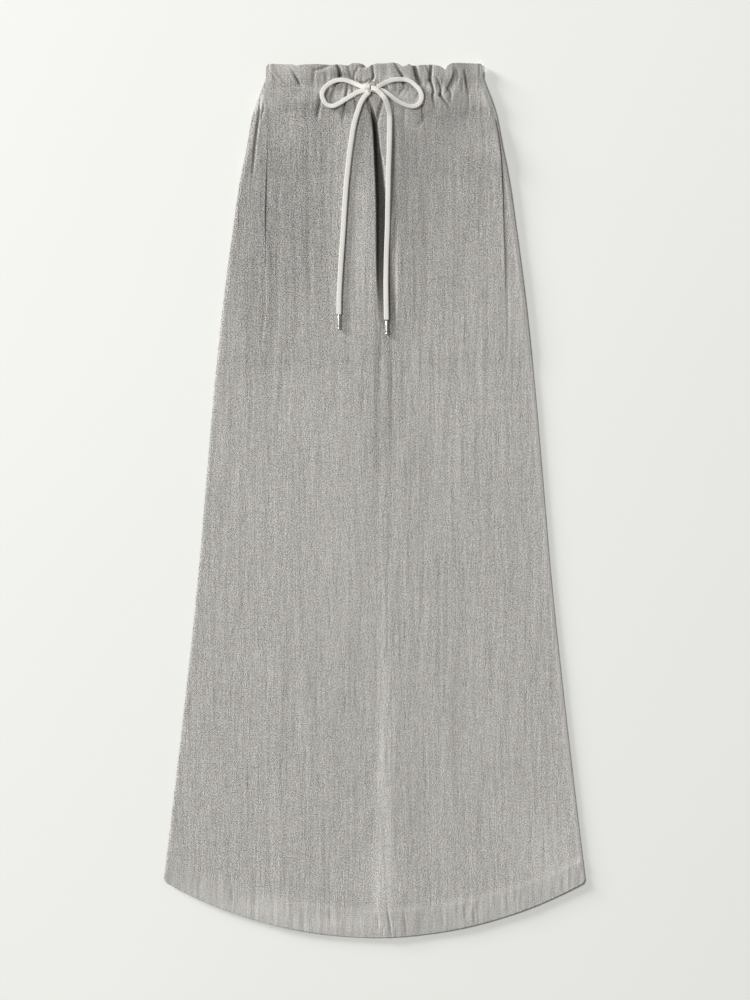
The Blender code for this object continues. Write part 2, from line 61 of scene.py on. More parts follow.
# The skirt's sizes, as in the part's source
LENGTH = 1.000
CASING_DEPTH = 0.053
HEM_DEPTH = 0.031
HEM_RISE = 0.0595
HEM_CORNER = 0.010
CORD = 0.006
SINGLE = 0.0012
DOUBLE = 0.0020
POCKET_CLOTH = 0.0010
GAP = 0.0003

# The outline: half the width at places down from the waist edge
OUTLINE_DOWN = (
    0.000, 0.010, 0.0185, 0.0217, 0.030, 0.0378, 0.0515, 0.0595, 0.0744, 0.0880, 0.134, 0.191, 0.248,
    0.363, 0.477, 0.592, 0.706, 0.820, 1.000,
)
OUTLINE_HALF = (
    0.1238, 0.1243, 0.1246, 0.1258, 0.1290, 0.1320, 0.1370, 0.1395, 0.1424, 0.1446, 0.1539, 0.1622,
    0.1699, 0.1825, 0.1925, 0.2023, 0.2143, 0.2274, 0.2492,
)

# How high the cloth stands, by place down: the back's waves, the front's puff and the swell below the bow
Relief = namedtuple("Relief", "down back_wave puff bulge")
RELIEF = (
    Relief(0.000, 0.0055, 0.0070, 0.0000),
    Relief(0.026, 0.0040, 0.0045, 0.0010),
    Relief(0.042, 0.0042, 0.0058, 0.0030),
    Relief(0.060, 0.0040, 0.0052, 0.0050),
    Relief(0.090, 0.0022, 0.0034, 0.0066),
    Relief(0.130, 0.0000, 0.0022, 0.0066),
    Relief(0.200, 0.0000, 0.0014, 0.0056),
    Relief(0.270, 0.0000, 0.0010, 0.0038),
    Relief(0.330, 0.0000, 0.0009, 0.0006),
    Relief(0.400, 0.0000, 0.0010, 0.0000),
    Relief(1.000, 0.0000, 0.0006, 0.0000),
)

# Where those heights reach, and how far in from the outline each side of the cloth turns up
BULGE_AT = 0.006
BULGE_REACH = 0.048
EDGE_ROLL = 0.0045
HEADER_ROLL = 0.0075
ROLL_CHANGE_DOWN = (0.045, 0.110)
BACK_ROLL = 0.024
SETTLE_FROM = 0.070
SETTLE_RUN = 0.048
SETTLE_MOST = 0.72
SETTLE_DOWN = 0.060
SETTLE_FADE = 0.060
BACK_WAVES = 13
BACK_WAVE_SHIFT = 0.018
BACK_WAVE_BEATS = 5.3
CASING_FADE = 0.014

# The pleat below the bow, in the photograph's pixels, with its depth in millimetres
Pleat = namedtuple("Pleat", "y lip run width bank depth")
PLEAT = (
    Pleat(98, 367.2, 1.6, 2.4, 2.0, 0.0),
    Pleat(106, 368.6, 1.6, 2.6, 2.0, 3.4),
    Pleat(112, 370.2, 1.6, 3.2, 2.0, 5.4),
    Pleat(120, 371.4, 1.6, 4.6, 2.4, 7.0),
    Pleat(132, 372.4, 1.6, 5.2, 3.0, 8.0),
    Pleat(148, 373.2, 1.6, 6.2, 4.0, 8.2),
    Pleat(162, 373.8, 1.6, 7.6, 5.0, 8.2),
    Pleat(184, 374.8, 1.6, 9.0, 6.0, 8.2),
    Pleat(204, 375.4, 1.6, 10.6, 8.0, 8.0),
    Pleat(232, 375.6, 1.8, 12.0, 12.0, 7.5),
    Pleat(260, 375.8, 2.0, 14.5, 12.0, 6.6),
    Pleat(284, 376.2, 3.0, 15.5, 10.0, 4.6),
    Pleat(302, 376.8, 6.0, 17.0, 9.0, 3.0),
    Pleat(322, 378.0, 8.0, 17.5, 9.0, 1.6),
    Pleat(346, 380.0, 10.0, 18.0, 9.0, 0.0),
)
# the width of the columns at the pleat's lip, and how strongly the pleat's depth counts in the painted shade
LIP_RUN = 0.0019
PLEAT_SHADE = 1.3

# The pocket mouths: a line a little inside each side, folded from fold_top to fold_end and open between
# mouth_top and mouth_end
MOUTH_DOWN = (0.050, 0.070, 0.095, 0.138, 0.178, 0.240, 0.283, 0.340)
Pocket = namedtuple("Pocket", "name side line fold_top fold_end mouth_top mouth_end bag_inner")
POCKETS = (
    Pocket("left", -1, (0.1207, 0.1216, 0.1222, 0.1238, 0.1245, 0.1245, 0.1244, 0.1300), 0.046, 0.345,
           0.088, 0.235, 0.0060),
    Pocket("right", 1, (0.1345, 0.1396, 0.1436, 0.1465, 0.1478, 0.1500, 0.1499, 0.1493), 0.062, 0.275,
           0.066, 0.190, 0.0140),
)
MOUTH_HALF = 0.00045
MOUTH_NARROW = 0.00012
LAP_UP = 0.0008
LAP_DOWN = 0.0005
# how deep the painted shade along each mouth line counts and how far it reaches; then the lap's reach and
# where it starts and ends, and where the painted shade starts and how it fades lower down
MOUTH_SHADE = 0.0052
MOUTH_SHADE_REACH = 0.0009
LAP_REACH = 0.011
LAP_START = 0.1
LAP_END = 0.3
MOUTH_SHADE_START = 0.03
MOUTH_SHADE_LOSS = 0.62
MOUTH_SHADE_LOSS_AT = 0.42
MOUTH_SHADE_LOSS_RUN = 0.16

# The pocket bags
BAG_TOP = 0.057
BAG_END = 0.3215
BAG_INSET = 0.0055
BAG_CORNER = 0.045
BAG_LIFT = 0.0007
BAG_UNEVEN = 0.0002
BAG_NOISE = (0.02, 0.05, 12)
BAG_PAST = 0.004
BAG_FADE = 0.03
BAG_ROWS = 60
BAG_COLUMNS = 40

# The waist edge of the front, in pixels of the photograph, and that of the back
WAIST_EDGE_X = (
    266, 268, 272, 286, 292, 296, 303, 315, 331, 338, 348, 352, 358, 363, 367, 370, 376, 384, 392, 397,
    402, 406, 408, 412, 422, 432, 439, 442, 444.5, 447, 451, 458, 470, 481, 483.2,
)
WAIST_EDGE_Y = (
    65.5, 63.2, 62.7, 63.6, 63.5, 64.9, 64.2, 63.7, 64.6, 63.9, 65.4, 62.7, 62.9, 63.9, 67.4, 65.2,
    63.0, 63.3, 62.2, 62.9, 66.1, 65.3, 63.4, 65.3, 64.6, 64.3, 65.6, 67.1, 69.6, 65.0, 62.6, 62.1,
    62.3, 62.5, 65.0,
)
WAIST_EDGE_DROP = 0.0020
BACK_EDGE = 0.0065
BACK_EDGE_UNEVEN = 0.0012

# Folds of the front: four places along each in the photograph's pixels, how deep it
# is at each in millimetres (below zero where it stands up), and its reach on each side
Fold = namedtuple("Fold", "x y depth left right")
FOLDS = (
    # the ruffle above the cord
    Fold((291, 295, 298.8, 301.2), (69.5, 75.5, 82, 88), (0.3, 2.4, 4.0, 0.6), 1.8, 1.2),
    Fold((277, 280, 283, 285), (73, 77, 80, 86), (0.3, 1.4, 1.2, 0.0), 2.2, 2.2),
    Fold((268, 271, 275.5, 281), (68, 73, 79, 85), (0.2, 0.7, 0.8, 0.2), 1.6, 1.6),
    Fold((315.4, 314.6, 313.6, 313), (69, 75, 80, 88), (0.4, 1.1, 1.2, 0.0), 2.4, 1.6),
    Fold((314, 321, 328, 336), (71.5, 69.7, 67, 64.5), (1.0, 1.8, 1.6, 0.4), 2.2, 1.4),
    Fold((324, 326, 326, 325), (72, 76, 80, 86), (0.2, 0.9, 1.2, 0.0), 2.4, 2.4),
    Fold((335.5, 338.8, 340, 338), (63, 70, 77, 84), (2.5, 5.5, 6.0, 2.5), 1.6, 2.2),
    Fold((351, 348.5, 351, 353), (62.5, 69, 76, 83), (0.5, 1.2, 1.5, 1.2), 2.0, 1.6),
    Fold((358.5, 355, 353.8, 356), (68, 74, 79, 84), (0.5, 1.6, 2.0, 1.6), 1.4, 2.0),
    Fold((361, 364.2, 367, 369), (67.3, 68, 66.6, 65), (1.0, 3.5, 3.0, 1.0), 1.6, 1.6),
    Fold((357, 360.5, 365, 369.5), (80.5, 83, 83.6, 80.5), (1.2, 2.6, 2.2, 2.4), 1.2, 1.2),
    Fold((372.8, 372.8, 373.4, 370.5), (64, 72, 78, 83), (1.6, 3.8, 5.6, 3.0), 1.4, 1.4),
    Fold((330.8, 331, 330.8, 330.4), (80, 82, 84, 86), (0.0, 2.4, 2.8, 0.4), 1.1, 1.1),
    Fold((384, 385, 386, 386), (64, 69, 74, 82), (0.1, 0.5, 0.6, 0.0), 4.0, 4.0),
    Fold((393.7, 398, 401.8, 403), (62, 70.6, 77, 84), (1.0, 3.2, 6.0, 3.0), 1.3, 2.0),
    Fold((413.4, 414.9, 416.6, 420), (63, 71, 78, 84.5), (3.6, 6.0, 6.2, 3.0), 1.9, 3.2),
    Fold((432.6, 431, 430.4, 430), (64, 69.5, 75, 81), (1.2, 4.2, 5.8, 5.8), 1.7, 1.7),
    Fold((425.4, 427, 428.6, 430.2), (65, 69, 72.5, 76), (0.5, 1.4, 1.6, 1.4), 1.3, 1.3),
    Fold((430, 433.3, 432.6, 435.8), (81, 91, 98.5, 111), (5.8, 4.8, 4.4, 0.4), 1.4, 1.4),
    Fold((435.6, 438.4, 440.6, 440.0), (77, 83, 90, 96.3), (0.0, 3.2, 4.2, 4.2), 1.2, 1.3),
    Fold((440.0, 443.2, 447.3, 451.5), (96.3, 100.6, 105.4, 110.5), (4.2, 3.6, 2.2, 0.0), 1.3, 1.9),
    Fold((453.4, 453.8, 451.4, 447.6), (67, 74.5, 82, 89.2), (0.8, 4.2, 4.2, 2.4), 1.3, 4.4),
    Fold((447.8, 450.6, 450.2, 450), (89, 94, 99, 106), (2.0, 2.2, 1.6, 0.0), 1.5, 1.6),
    Fold((455.6, 456.8, 457.3, 456), (68, 73, 79, 85), (0.5, 2.6, 2.4, 0.0), 1.5, 1.5),
    Fold((464, 465.2, 466.2, 467.2), (69.5, 76, 83, 89), (0.0, 4.6, 6.4, 1.8), 1.3, 1.4),
    Fold((467.2, 468.6, 468.3, 468), (89, 97, 107, 118), (1.8, 1.2, 0.9, 0.0), 1.3, 1.3),
    Fold((479.2, 479.4, 479.4, 479), (65, 69.5, 74, 80), (1.0, 2.4, 2.0, 0.0), 1.1, 1.1),
    # under and round the loops of the bow
    Fold((337, 335, 331.4, 331), (82, 89, 97, 106), (2.2, 3.0, 2.8, 0.8), 1.8, 1.6),
    Fold((328, 329, 328, 326), (83, 90, 96, 104), (0.6, 2.2, 1.6, 0.0), 3.0, 3.0),
    Fold((342.5, 342.2, 341, 340), (80, 86, 92, 98), (1.0, 1.3, 0.6, 0.0), 1.4, 1.4),
    Fold((347.6, 347, 346, 346), (82, 90.7, 97, 102), (2.4, 4.2, 4.2, 3.6), 1.4, 1.4),
    Fold((346, 344.9, 343.6, 343), (102, 107, 114, 126), (4.2, 4.2, 2.8, 0.0), 2.0, 1.7),
    Fold((352, 352.5, 353.7, 355.6), (84, 90, 97.4, 103), (1.2, 1.5, 2.2, 2.2), 1.4, 1.4),
    Fold((355.6, 355.8, 355, 353), (103, 109, 115, 123), (2.6, 2.4, 1.4, 0.0), 1.3, 1.3),
    Fold((360, 361, 361, 360), (96, 102, 109, 118), (0.6, 1.2, 0.8, 0.0), 1.6, 1.6),
    Fold((320.6, 319.8, 318.2, 317.4), (97, 104.5, 112.5, 121), (2.0, 3.8, 3.0, 0.2), 2.1, 1.6),
    Fold((402.5, 404, 400, 397), (82, 88, 94, 100), (3.0, 2.4, 1.6, 0.0), 1.8, 1.8),
    Fold((405, 408, 407, 403), (83, 88, 93, 98), (1.6, 1.6, 1.0, 0.0), 1.6, 1.6),
    Fold((386, 388, 388, 386), (84, 89, 93, 97), (0.8, 1.4, 1.0, 0.0), 1.8, 1.8),
    Fold((416, 418, 417, 414), (88, 93, 98, 102), (0.4, 1.2, 1.0, 0.0), 2.0, 2.0),
    Fold((421, 422.4, 422.4, 418.6), (103, 112.7, 121, 125.2), (2.6, 2.8, 2.6, 1.2), 1.3, 1.7),
    Fold((418.6, 415, 412, 409), (125.2, 126.5, 126, 124), (1.2, 0.9, 0.5, 0.0), 1.4, 1.4),
    Fold((424.3, 424.6, 424.6, 424.5), (107, 114, 120, 130), (1.4, 1.3, 1.0, 0.0), 1.3, 1.3),
    Fold((403.7, 404.2, 403.7, 403.5), (110, 123, 134, 150), (0.9, 1.1, 0.8, 0.0), 1.6, 1.6),
    # the two creases that meet over the pleat
    Fold((366.5, 369.3, 371.7, 373.6), (97, 110.8, 118.4, 134), (3.4, 4.6, 3.6, 0.0), 1.8, 1.4),
    Fold((383.8, 380.8, 378.2, 376.2), (97, 107, 116, 128), (2.8, 4.0, 4.6, 1.6), 1.9, 2.1),
    # at the left side
    Fold((260.0, 258.5, 255.6, 252.2), (99, 118, 139, 176), (1.2, 4.4, 5.2, 0.6), 1.0, 1.5),
    Fold((259.7, 259.7, 259.6, 259.6), (99.4, 100.6, 101.6, 102.8), (0.0, 3.4, 3.0, 0.0), 0.9, 0.9),
    Fold((263.8, 263.3, 262.2, 261.6), (105, 110, 114.5, 121), (0.6, 2.6, 2.0, 0.0), 1.0, 1.0),
    Fold((265.6, 265.8, 264.2, 261.0), (250, 285, 315, 350), (0.4, 0.9, 1.1, 0.1), 1.2, 1.6),
    Fold((506.3, 507.6, 508.3, 508), (268, 300, 330, 356), (0.1, 0.8, 0.8, 0.1), 1.4, 1.4),
    # long soft ones down the body
    Fold((394.5, 394.5, 394.5, 394), (118, 160, 210, 250), (0.4, 2.2, 2.0, 0.6), 3.4, 4.0),
    Fold((395, 395, 394.6, 394), (228, 258, 290, 332), (0.4, 2.0, 2.0, 0.0), 3.0, 2.6),
    Fold((308, 308, 308, 307), (145, 200, 260, 330), (0.3, 0.7, 0.7, 0.0), 5.0, 6.0),
    Fold((297, 296, 297, 297), (180, 240, 300, 380), (0.1, 0.4, 0.3, 0.0), 4.0, 5.0),
    Fold((381, 378.5, 378, 378), (330, 400, 480, 600), (0.5, 0.6, 0.5, 0.0), 3.2, 3.2),
    Fold((391, 391.5, 391.5, 390), (330, 400, 480, 590), (0.5, 0.7, 0.5, 0.0), 3.0, 3.4),
    Fold((287, 287, 286, 286), (600, 700, 790, 880), (0.1, 0.6, 0.6, 0.2), 7.0, 8.0),
    Fold((296, 296, 296, 296), (600, 690, 770, 840), (0.0, 0.4, 0.3, 0.0), 5.0, 5.0),
    Fold((457, 459, 460, 461), (520, 640, 760, 880), (0.0, 0.5, 0.6, 0.1), 9.0, 10.0),
    Fold((384.5, 384.5, 383.5, 384), (560, 680, 790, 925), (0.0, -0.7, -1.1, -1.2), 9.0, 34.0),
    Fold((382, 382, 382, 382), (866, 874, 882, 892), (0.0, 0.5, 0.5, 0.0), 1.2, 1.2),
    # short creases in the turned hem
    Fold((378, 378, 378.4, 378), (912, 919, 926, 933), (0.0, 0.9, 0.8, 0.0), 1.3, 1.3),
    Fold((387, 388.4, 390, 392), (904, 914, 925, 936), (0.0, 1.0, 1.1, 0.3), 1.2, 1.3),
    Fold((404, 405, 406, 407), (912, 920, 928, 935), (0.0, 0.8, 0.8, 0.2), 1.2, 1.2),
    Fold((441, 442, 443, 444), (903, 911, 919, 926), (0.0, 0.7, 0.6, 0.0), 1.3, 1.3),
    Fold((465, 465, 465.4, 466), (904, 910, 916, 922), (0.0, 0.8, 0.7, 0.0), 1.2, 1.2),
    Fold((474, 474, 474.6, 475), (906, 913, 920, 926), (0.0, 0.8, 0.7, 0.0), 1.2, 1.2),
    Fold((506, 507, 508, 509), (893, 900, 907, 914), (0.0, 0.6, 0.6, 0.0), 1.2, 1.2),
    Fold((330, 330, 330.6, 331), (905, 912, 919, 926), (0.0, 0.6, 0.5, 0.0), 1.3, 1.3),
    Fold((286, 286, 286.6, 287), (897, 904, 911, 918), (0.0, 0.5, 0.5, 0.0), 1.3, 1.3),
    Fold((232, 232, 232.6, 233), (884, 890, 896, 903), (0.0, 0.5, 0.5, 0.0), 1.3, 1.3),
)
FOLD_STEPS = 14
FOLD_SEEN = 3.2
FOLD_SHARE = 0.68

# Soft lighter and darker places of the front, in pixels of the photograph: middle, reach and amount. They are
# painted into the cloth's colour: painted light and shade round the folds, the pleat and the cords of the
# bow, and broader lighter and darker tone elsewhere
Patch = namedtuple("Patch", "x y wide tall amount")
PATCHES = (
    Patch(470, 190, 62, 130, 0.07),
    Patch(359, 250, 13, 80, 0.14),
    Patch(290, 100, 34, 24, -0.22),
    Patch(266, 107, 13, 9, 0.42),
    Patch(293, 87, 8, 12, -0.22),
    Patch(341, 76, 8, 4, -0.46),
    Patch(417, 87, 9, 13, -0.34),
    Patch(450, 71, 9, 9, 0.54),
    Patch(467, 79, 8, 6, -0.15),
    Patch(480, 70, 6, 7, 0.18),
    Patch(448, 108, 40, 7, 0.15),
    Patch(409, 121, 8, 15, 0.26),
    Patch(371, 110, 4, 9, 0.40),
    Patch(486, 101, 6, 8, 0.16),
    Patch(486, 128, 12, 12, -0.14),
    Patch(351, 165, 8, 40, 0.11),
    Patch(402, 165, 20, 50, 0.11),
    Patch(477, 185, 14, 60, -0.08),
    Patch(321, 250, 14, 90, -0.08),
    Patch(262, 320, 24, 90, -0.14),
    Patch(384, 390, 20, 95, -0.15),
    Patch(550, 858, 28, 46, 0.17),
    Patch(360, 878, 60, 20, 0.07),
    Patch(300, 190, 50, 110, -0.09),
    Patch(512, 260, 10, 110, 0.06),
    Patch(470, 98, 30, 12, -0.06),
    Patch(470, 128, 40, 20, 0.10),
    Patch(505, 800, 90, 150, 0.04),
    Patch(198, 890, 40, 10, 0.10),
    Patch(250, 908, 50, 11, 0.24),
    Patch(305, 924, 46, 10, 0.16),
    Patch(366, 922, 50, 13, 0.13),
    Patch(485, 906, 66, 14, 0.08),
)

# Painted shade along the cloth's left edge and painted light along its right and lower edges, against the
# light and dark of the turned-down edges: how much lighter the cloth is painted, and how far in
EDGE_TONE_LEFT = -0.30
EDGE_TONE_RIGHT = 0.78
EDGE_TONE_REACH = 0.0040
EDGE_TONE_RIM = 0.42
EDGE_TONE_RIM_REACH = 0.0018
EDGE_TONE_WAIST = 1.5
EDGE_TONE_END = 1.15
EDGE_TONE_END_REACH = 0.0002
EDGE_TONE_WAIST_FROM = 0.020
EDGE_TONE_WAIST_RUN = 0.030

# The darker upper part of the front and the light crease down its lower middle, in pixels
UPPER_TONE = -0.12
UPPER_TONE_IN = (96, 16)
UPPER_TONE_OUT = (215, 170)
CREASE_TONE = 0.15
CREASE_X = 384.2
CREASE_Y = (560, 660, 780, 880)
CREASE_HALF = (1.0, 4.0, 7.5, 11.0)
CREASE_SOFT = 0.006
CREASE_IN = (570, 110)
CREASE_OUT = (902, 8)

# Rows and columns of the cloth's grids, and where one piece ends and the next begins
HEADER_COLUMNS = 640
HEADER_ROWS = 120
HEADER_END = 0.0532
PANEL_TOP = 0.0512
FRONT_ROWS_PANEL = 176
FRONT_ROWS_HEM = 18
HEM_LAST_ROWS = (0.984, 0.9965, 1.0)
BACK_COLUMNS = 260
BACK_ROWS_CASING = 34
BACK_ROWS_PANEL = 70
BACK_ROWS_HEM = 12
CHANNEL_TOP = 0.0290
CHANNEL_END = 0.0515
PANEL_ROW_BIAS = 1.3
BACK_COLUMN_BIAS = 0.92
SEAM_STEP = 0.0006
SEAM_RUN = 0.0008
PANEL_TUCK = 0.00008
BACK_PANEL_TUCK = 0.0003

# Columns of the front from guide line to guide line: the left side, the left mouth, the pleat's lip and
# bank, the right mouth and the right side
FRONT_CELLS = (3, 6, 24, 2, 160, 6, 6, 40, 165, 2, 18, 6, 3)
RIM_SHARE = 0.06
SIDE_SHARE = 0.25
LIP_BEFORE = 0.004
LIP_AFTER = 0.024
SIDE_ROOM_LEAST = 0.0012
SIDE_ROOM_LOW = 0.034
SIDE_ROOM_RUN = 0.15

# Rows that run back inside from a cut edge: share of the fold's thickness, and millimetres inward
TurnedRow = namedtuple("TurnedRow", "thick inward")
HEM_TURN = (
    TurnedRow(0.25, -0.03), TurnedRow(0.75, -0.02), TurnedRow(1.0, 0.5), TurnedRow(1.0, 3.0),
    TurnedRow(1.0, 5.0),
)
WAIST_TURN = (
    TurnedRow(1.0, 9.0), TurnedRow(1.0, 3.0), TurnedRow(1.0, 0.5), TurnedRow(0.75, -0.1),
    TurnedRow(0.25, -0.3),
)
WAIST_TURN_THICK = 0.0017
FRONT_HEM_THICK = 0.0012
BACK_HEM_THICK = 0.0008
LOWEST_TURNED = 0.0008

# Small relief: the waist's puckers, the channel, the weave's crinkle, the laid cloth's swell and the hem
Noise = namedtuple("Noise", "amount across along seed")
PUCKERS = (
    Noise(0.00042, 0.0036, 0.020, 1),
    Noise(0.00042 * 0.6, 0.0021, 0.014, 2),
    Noise(0.00055, 0.0085, 0.030, 3),
)
PUCKER_LEFT = 0.35
PUCKER_FROM = -0.085
PUCKER_RUN = 0.05
PUCKER_MOST = 1.4
CINCH_DOWN = 0.0225
CINCH_REACH = 0.0085
CHANNEL_TOP_REACH = 0.0050
CHANNEL_END_REACH = 0.0065
CHANNEL_END_SHARE = 0.8
CHANNEL_RIDGE = 0.0004
CHANNEL_RIDGE_RUN = 0.010
SEAM_SINK = 0.0002
SEAM_SINK_REACH = 0.0012
CRINKLE = (Noise(0.00010, 0.0030, 0.050, 4), Noise(0.00016, 0.0062, 0.090, 5))
SWELL = (Noise(0.00035, 0.034, 0.16, 6), Noise(0.00050, 0.080, 0.26, 7))
SWELL_FROM = 0.06
SWELL_RUN = 0.12
HEM_PUCKERS = (Noise(0.00034, 0.0048, 0.020, 8),)
HEM_PUCKER_FROM = 0.005
HEM_PUCKER_RUN = 0.060
HEM_PUCKER_PAST = 0.010
HEM_PUCKER_REACH = 0.018
HEM_PUCKER_START = -0.03
HEM_STEP = 0.0004
HEM_STEP_RUN = 0.004
HEM_STEP_AT = 0.4
HEM_SINK = 0.0003
BACK_EDGE_NOISE = (0.011, 1.0, 9)
BACK_PUCKERS = 0.5
BACK_PUCKERS_FROM = 0.0005
BACK_PUCKERS_RUN = 0.002
BACK_LIFT = 0.0001
FLATTEST = 0.0001
PRESSED_FROM = 0.001
EDGE_SHARE = 0.4
EDGE_LIFT = 0.0006

# Where the weave shows as double: in the casing, and past the hem's stitches
CASING_BAND = 0.6
CASING_BAND_RUN = 0.004
HEM_BAND_RUN = 0.0025

# How dark the painted shade at the bottom of a fold is, and how it follows the fold's depth
SHADE_MOST = 0.87
SHADE_DEPTH = 0.0046
SHADE_TIGHT = 0.62
SHADE_CURVE = 1.35

# The drawstring, as in the part's source: places along each stretch, and how far it is held above the cloth
LOOP_LEFT = (
    (-0.0062, 0.4712, 0.0042), (-0.0110, 0.4719, 0.0036), (-0.0168, 0.4737, 0.0022),
    (-0.0257, 0.4777, 0.0008), (-0.0372, 0.4806, 0.0004), (-0.0452, 0.4796, 0.0004),
    (-0.0532, 0.4750, 0.0004), (-0.0584, 0.4692, 0.0004), (-0.0601, 0.4634, 0.0004),
    (-0.0584, 0.4577, 0.0004), (-0.0544, 0.4525, 0.0004), (-0.0486, 0.4506, 0.0004),
    (-0.0418, 0.4530, 0.0004), (-0.0338, 0.4580, 0.0006), (-0.0280, 0.4613, 0.0008),
    (-0.0190, 0.4665, 0.0016), (-0.0120, 0.4686, 0.0026), (-0.0062, 0.4695, 0.0032),
)
LOOP_RIGHT = (
    (0.0030, 0.4722, 0.0048), (0.0074, 0.4748, 0.0036), (0.0116, 0.4770, 0.0022),
    (0.0192, 0.4800, 0.0008), (0.0295, 0.4813, 0.0004), (0.0395, 0.4796, 0.0004),
    (0.0469, 0.4743, 0.0004), (0.0522, 0.4679, 0.0004), (0.0541, 0.4610, 0.0004),
    (0.0522, 0.4552, 0.0004), (0.0479, 0.4512, 0.0004), (0.0416, 0.4504, 0.0004),
    (0.0372, 0.4514, 0.0004), (0.0320, 0.4535, 0.0004), (0.0244, 0.4580, 0.0006),
    (0.0167, 0.4638, 0.0010), (0.0103, 0.4679, 0.0016), (0.0057, 0.4693, 0.0024),
)
TAIL_LEFT = (
    (-0.0060, 0.4668, 0.0022), (-0.0097, 0.4635, 0.0014), (-0.0140, 0.4576, 0.0008),
    (-0.0190, 0.4454, 0.0004), (-0.0221, 0.4352, 0.0004), (-0.0265, 0.4113, 0.0004),
    (-0.0297, 0.3867, 0.0004), (-0.0320, 0.3650, 0.0004), (-0.0337, 0.3432, 0.0004),
    (-0.0358, 0.3089, 0.0004), (-0.0378, 0.2800, 0.0004), (-0.0396, 0.2517, 0.0004),
    (-0.0405, 0.2330, 0.0004), (-0.0407, 0.2124, 0.0004),
)
TAIL_RIGHT = (
    (-0.0036, 0.4709, 0.0070), (-0.0011, 0.4710, 0.0072), (0.0016, 0.4698, 0.0074),
    (0.0065, 0.4657, 0.0070), (0.0116, 0.4597, 0.0066), (0.0152, 0.4504, 0.0036),
    (0.0172, 0.4402, 0.0010), (0.0175, 0.4267, 0.0004), (0.0172, 0.4118, 0.0004),
    (0.0161, 0.3775, 0.0004), (0.0154, 0.3432, 0.0004), (0.0147, 0.3089, 0.0004),
    (0.0136, 0.2800, 0.0004), (0.0131, 0.2517, 0.0004), (0.0133, 0.2265, 0.0004),
    (0.0137, 0.2062, 0.0004),
)
CORD_RADIUS = 0.00270
LOOP_RADIUS = 0.00260
TAIL_RADIUS = 0.00284
# Painted shade on a cord's side towards the low light and painted light on its far side, and how quickly it
# changes round the cord
PAINTED_SHADE_NEAR = 0.26
PAINTED_LIGHT_FAR = 0.17
EVEN_STEEP = 2.2
CORD_FLAT = 0.64
CORD_SQUARE = 0.46
CORD_STEP = 0.0012
CORD_SIDES = 36
AGLET_LENGTH = 0.0175
AGLET_RADIUS = 0.0019
AGLET_SIDES = 32
AGLET_OVERLAP = 0.0006
AGLET_CORE = 0.0002
AGLET_HOLLOW = 0.0032
RESTING_RINGS = (0, 0.4, 0.7, 1.0)
RESTING_SIDES = 12
SOFTENED_STEPS = 5
BRAID_STRANDS = 8
BRAID_LAY = 0.0062
BRAID_RELIEF = 0.00006
KNOT_AT = (0.0, 0.4700)
KNOT_STEP = 0.0006

# The metal end's outline: distance from its start, then back from its tip, with its share of the radius
AGLET_START = (
    (0.0000, 0.86), (0.0002, 0.98), (0.0006, 1.02), (0.0016, 1.02), (0.0019, 0.93), (0.0023, 0.90),
    (0.0027, 0.93), (0.0031, 1.0), (0.0080, 1.0), (0.0130, 1.0),
)
AGLET_TIP = (
    (0.0030, 0.99), (0.0026, 0.93), (0.0022, 0.91), (0.0018, 0.94), (0.0014, 0.99), (0.0004, 0.98),
    (0.0001, 0.93), (0.0000, 0.84), (0.0003, 0.74), (0.0030, 0.70),
)

# The runs of cord in the knot, from its middle: how much painted shade each carries, then x, y and height
KNOT_RUNS = (
    # two turns side by side, behind the right tail
    (0.56, (
        (-0.0014, 0.0058, -0.0030), (-0.0016, 0.0046, 0.0012), (-0.0012, 0.0026, 0.0030),
        (-0.0006, -0.0006, 0.0034), (0.0000, -0.0036, 0.0018), (0.0004, -0.0050, -0.0030),
    )),
    (0.60, (
        (0.0022, 0.0052, -0.0030), (0.0022, 0.0042, 0.0010), (0.0026, 0.0022, 0.0026),
        (0.0032, -0.0008, 0.0026), (0.0036, -0.0030, 0.0008), (0.0038, -0.0044, -0.0030),
    )),
    # the turn that shows below the right tail
    (0.0, (
        (-0.0030, -0.0010, 0.0026), (-0.0004, -0.0024, 0.0036), (0.0022, -0.0036, 0.0036),
        (0.0046, -0.0046, 0.0022), (0.0060, -0.0052, -0.0010),
    )),
    # the left loop's legs where they go in
    (0.07, ((-0.0110, 0.0018, 0.0036), (-0.0078, 0.0013, 0.0042), (-0.0052, 0.0010, 0.0046))),
    (0.07, ((-0.0110, -0.0012, 0.0024), (-0.0078, -0.0008, 0.0032), (-0.0052, -0.0005, 0.0036))),
    # the left tail coming out below
    (0.0, (
        (-0.0034, -0.0012, 0.0010), (-0.0050, -0.0024, 0.0020), (-0.0072, -0.0042, 0.0020),
        (-0.0094, -0.0062, 0.0014),
    )),
)

# Stitches: size, spacing, and how far along and how thick each of a stitch's rings is
STITCH_PITCH = 0.0030
STITCH_LENGTH = 0.0021
STITCH_HALF_WIDE = 0.00026
STITCH_HALF_TALL = 0.00012
STITCH_UNEVEN = 0.00015
STITCH_LIFT = 0.00006
STITCH_SIDES = 6
STITCH_RINGS = (-0.5, -0.42, -0.2, 0.2, 0.42, 0.5)
STITCH_GIRTHS = (0.15, 0.75, 1.0, 1.0, 0.75, 0.15)
STITCHED_WIDTH = 0.985
STITCH_LINE_STEPS = 900

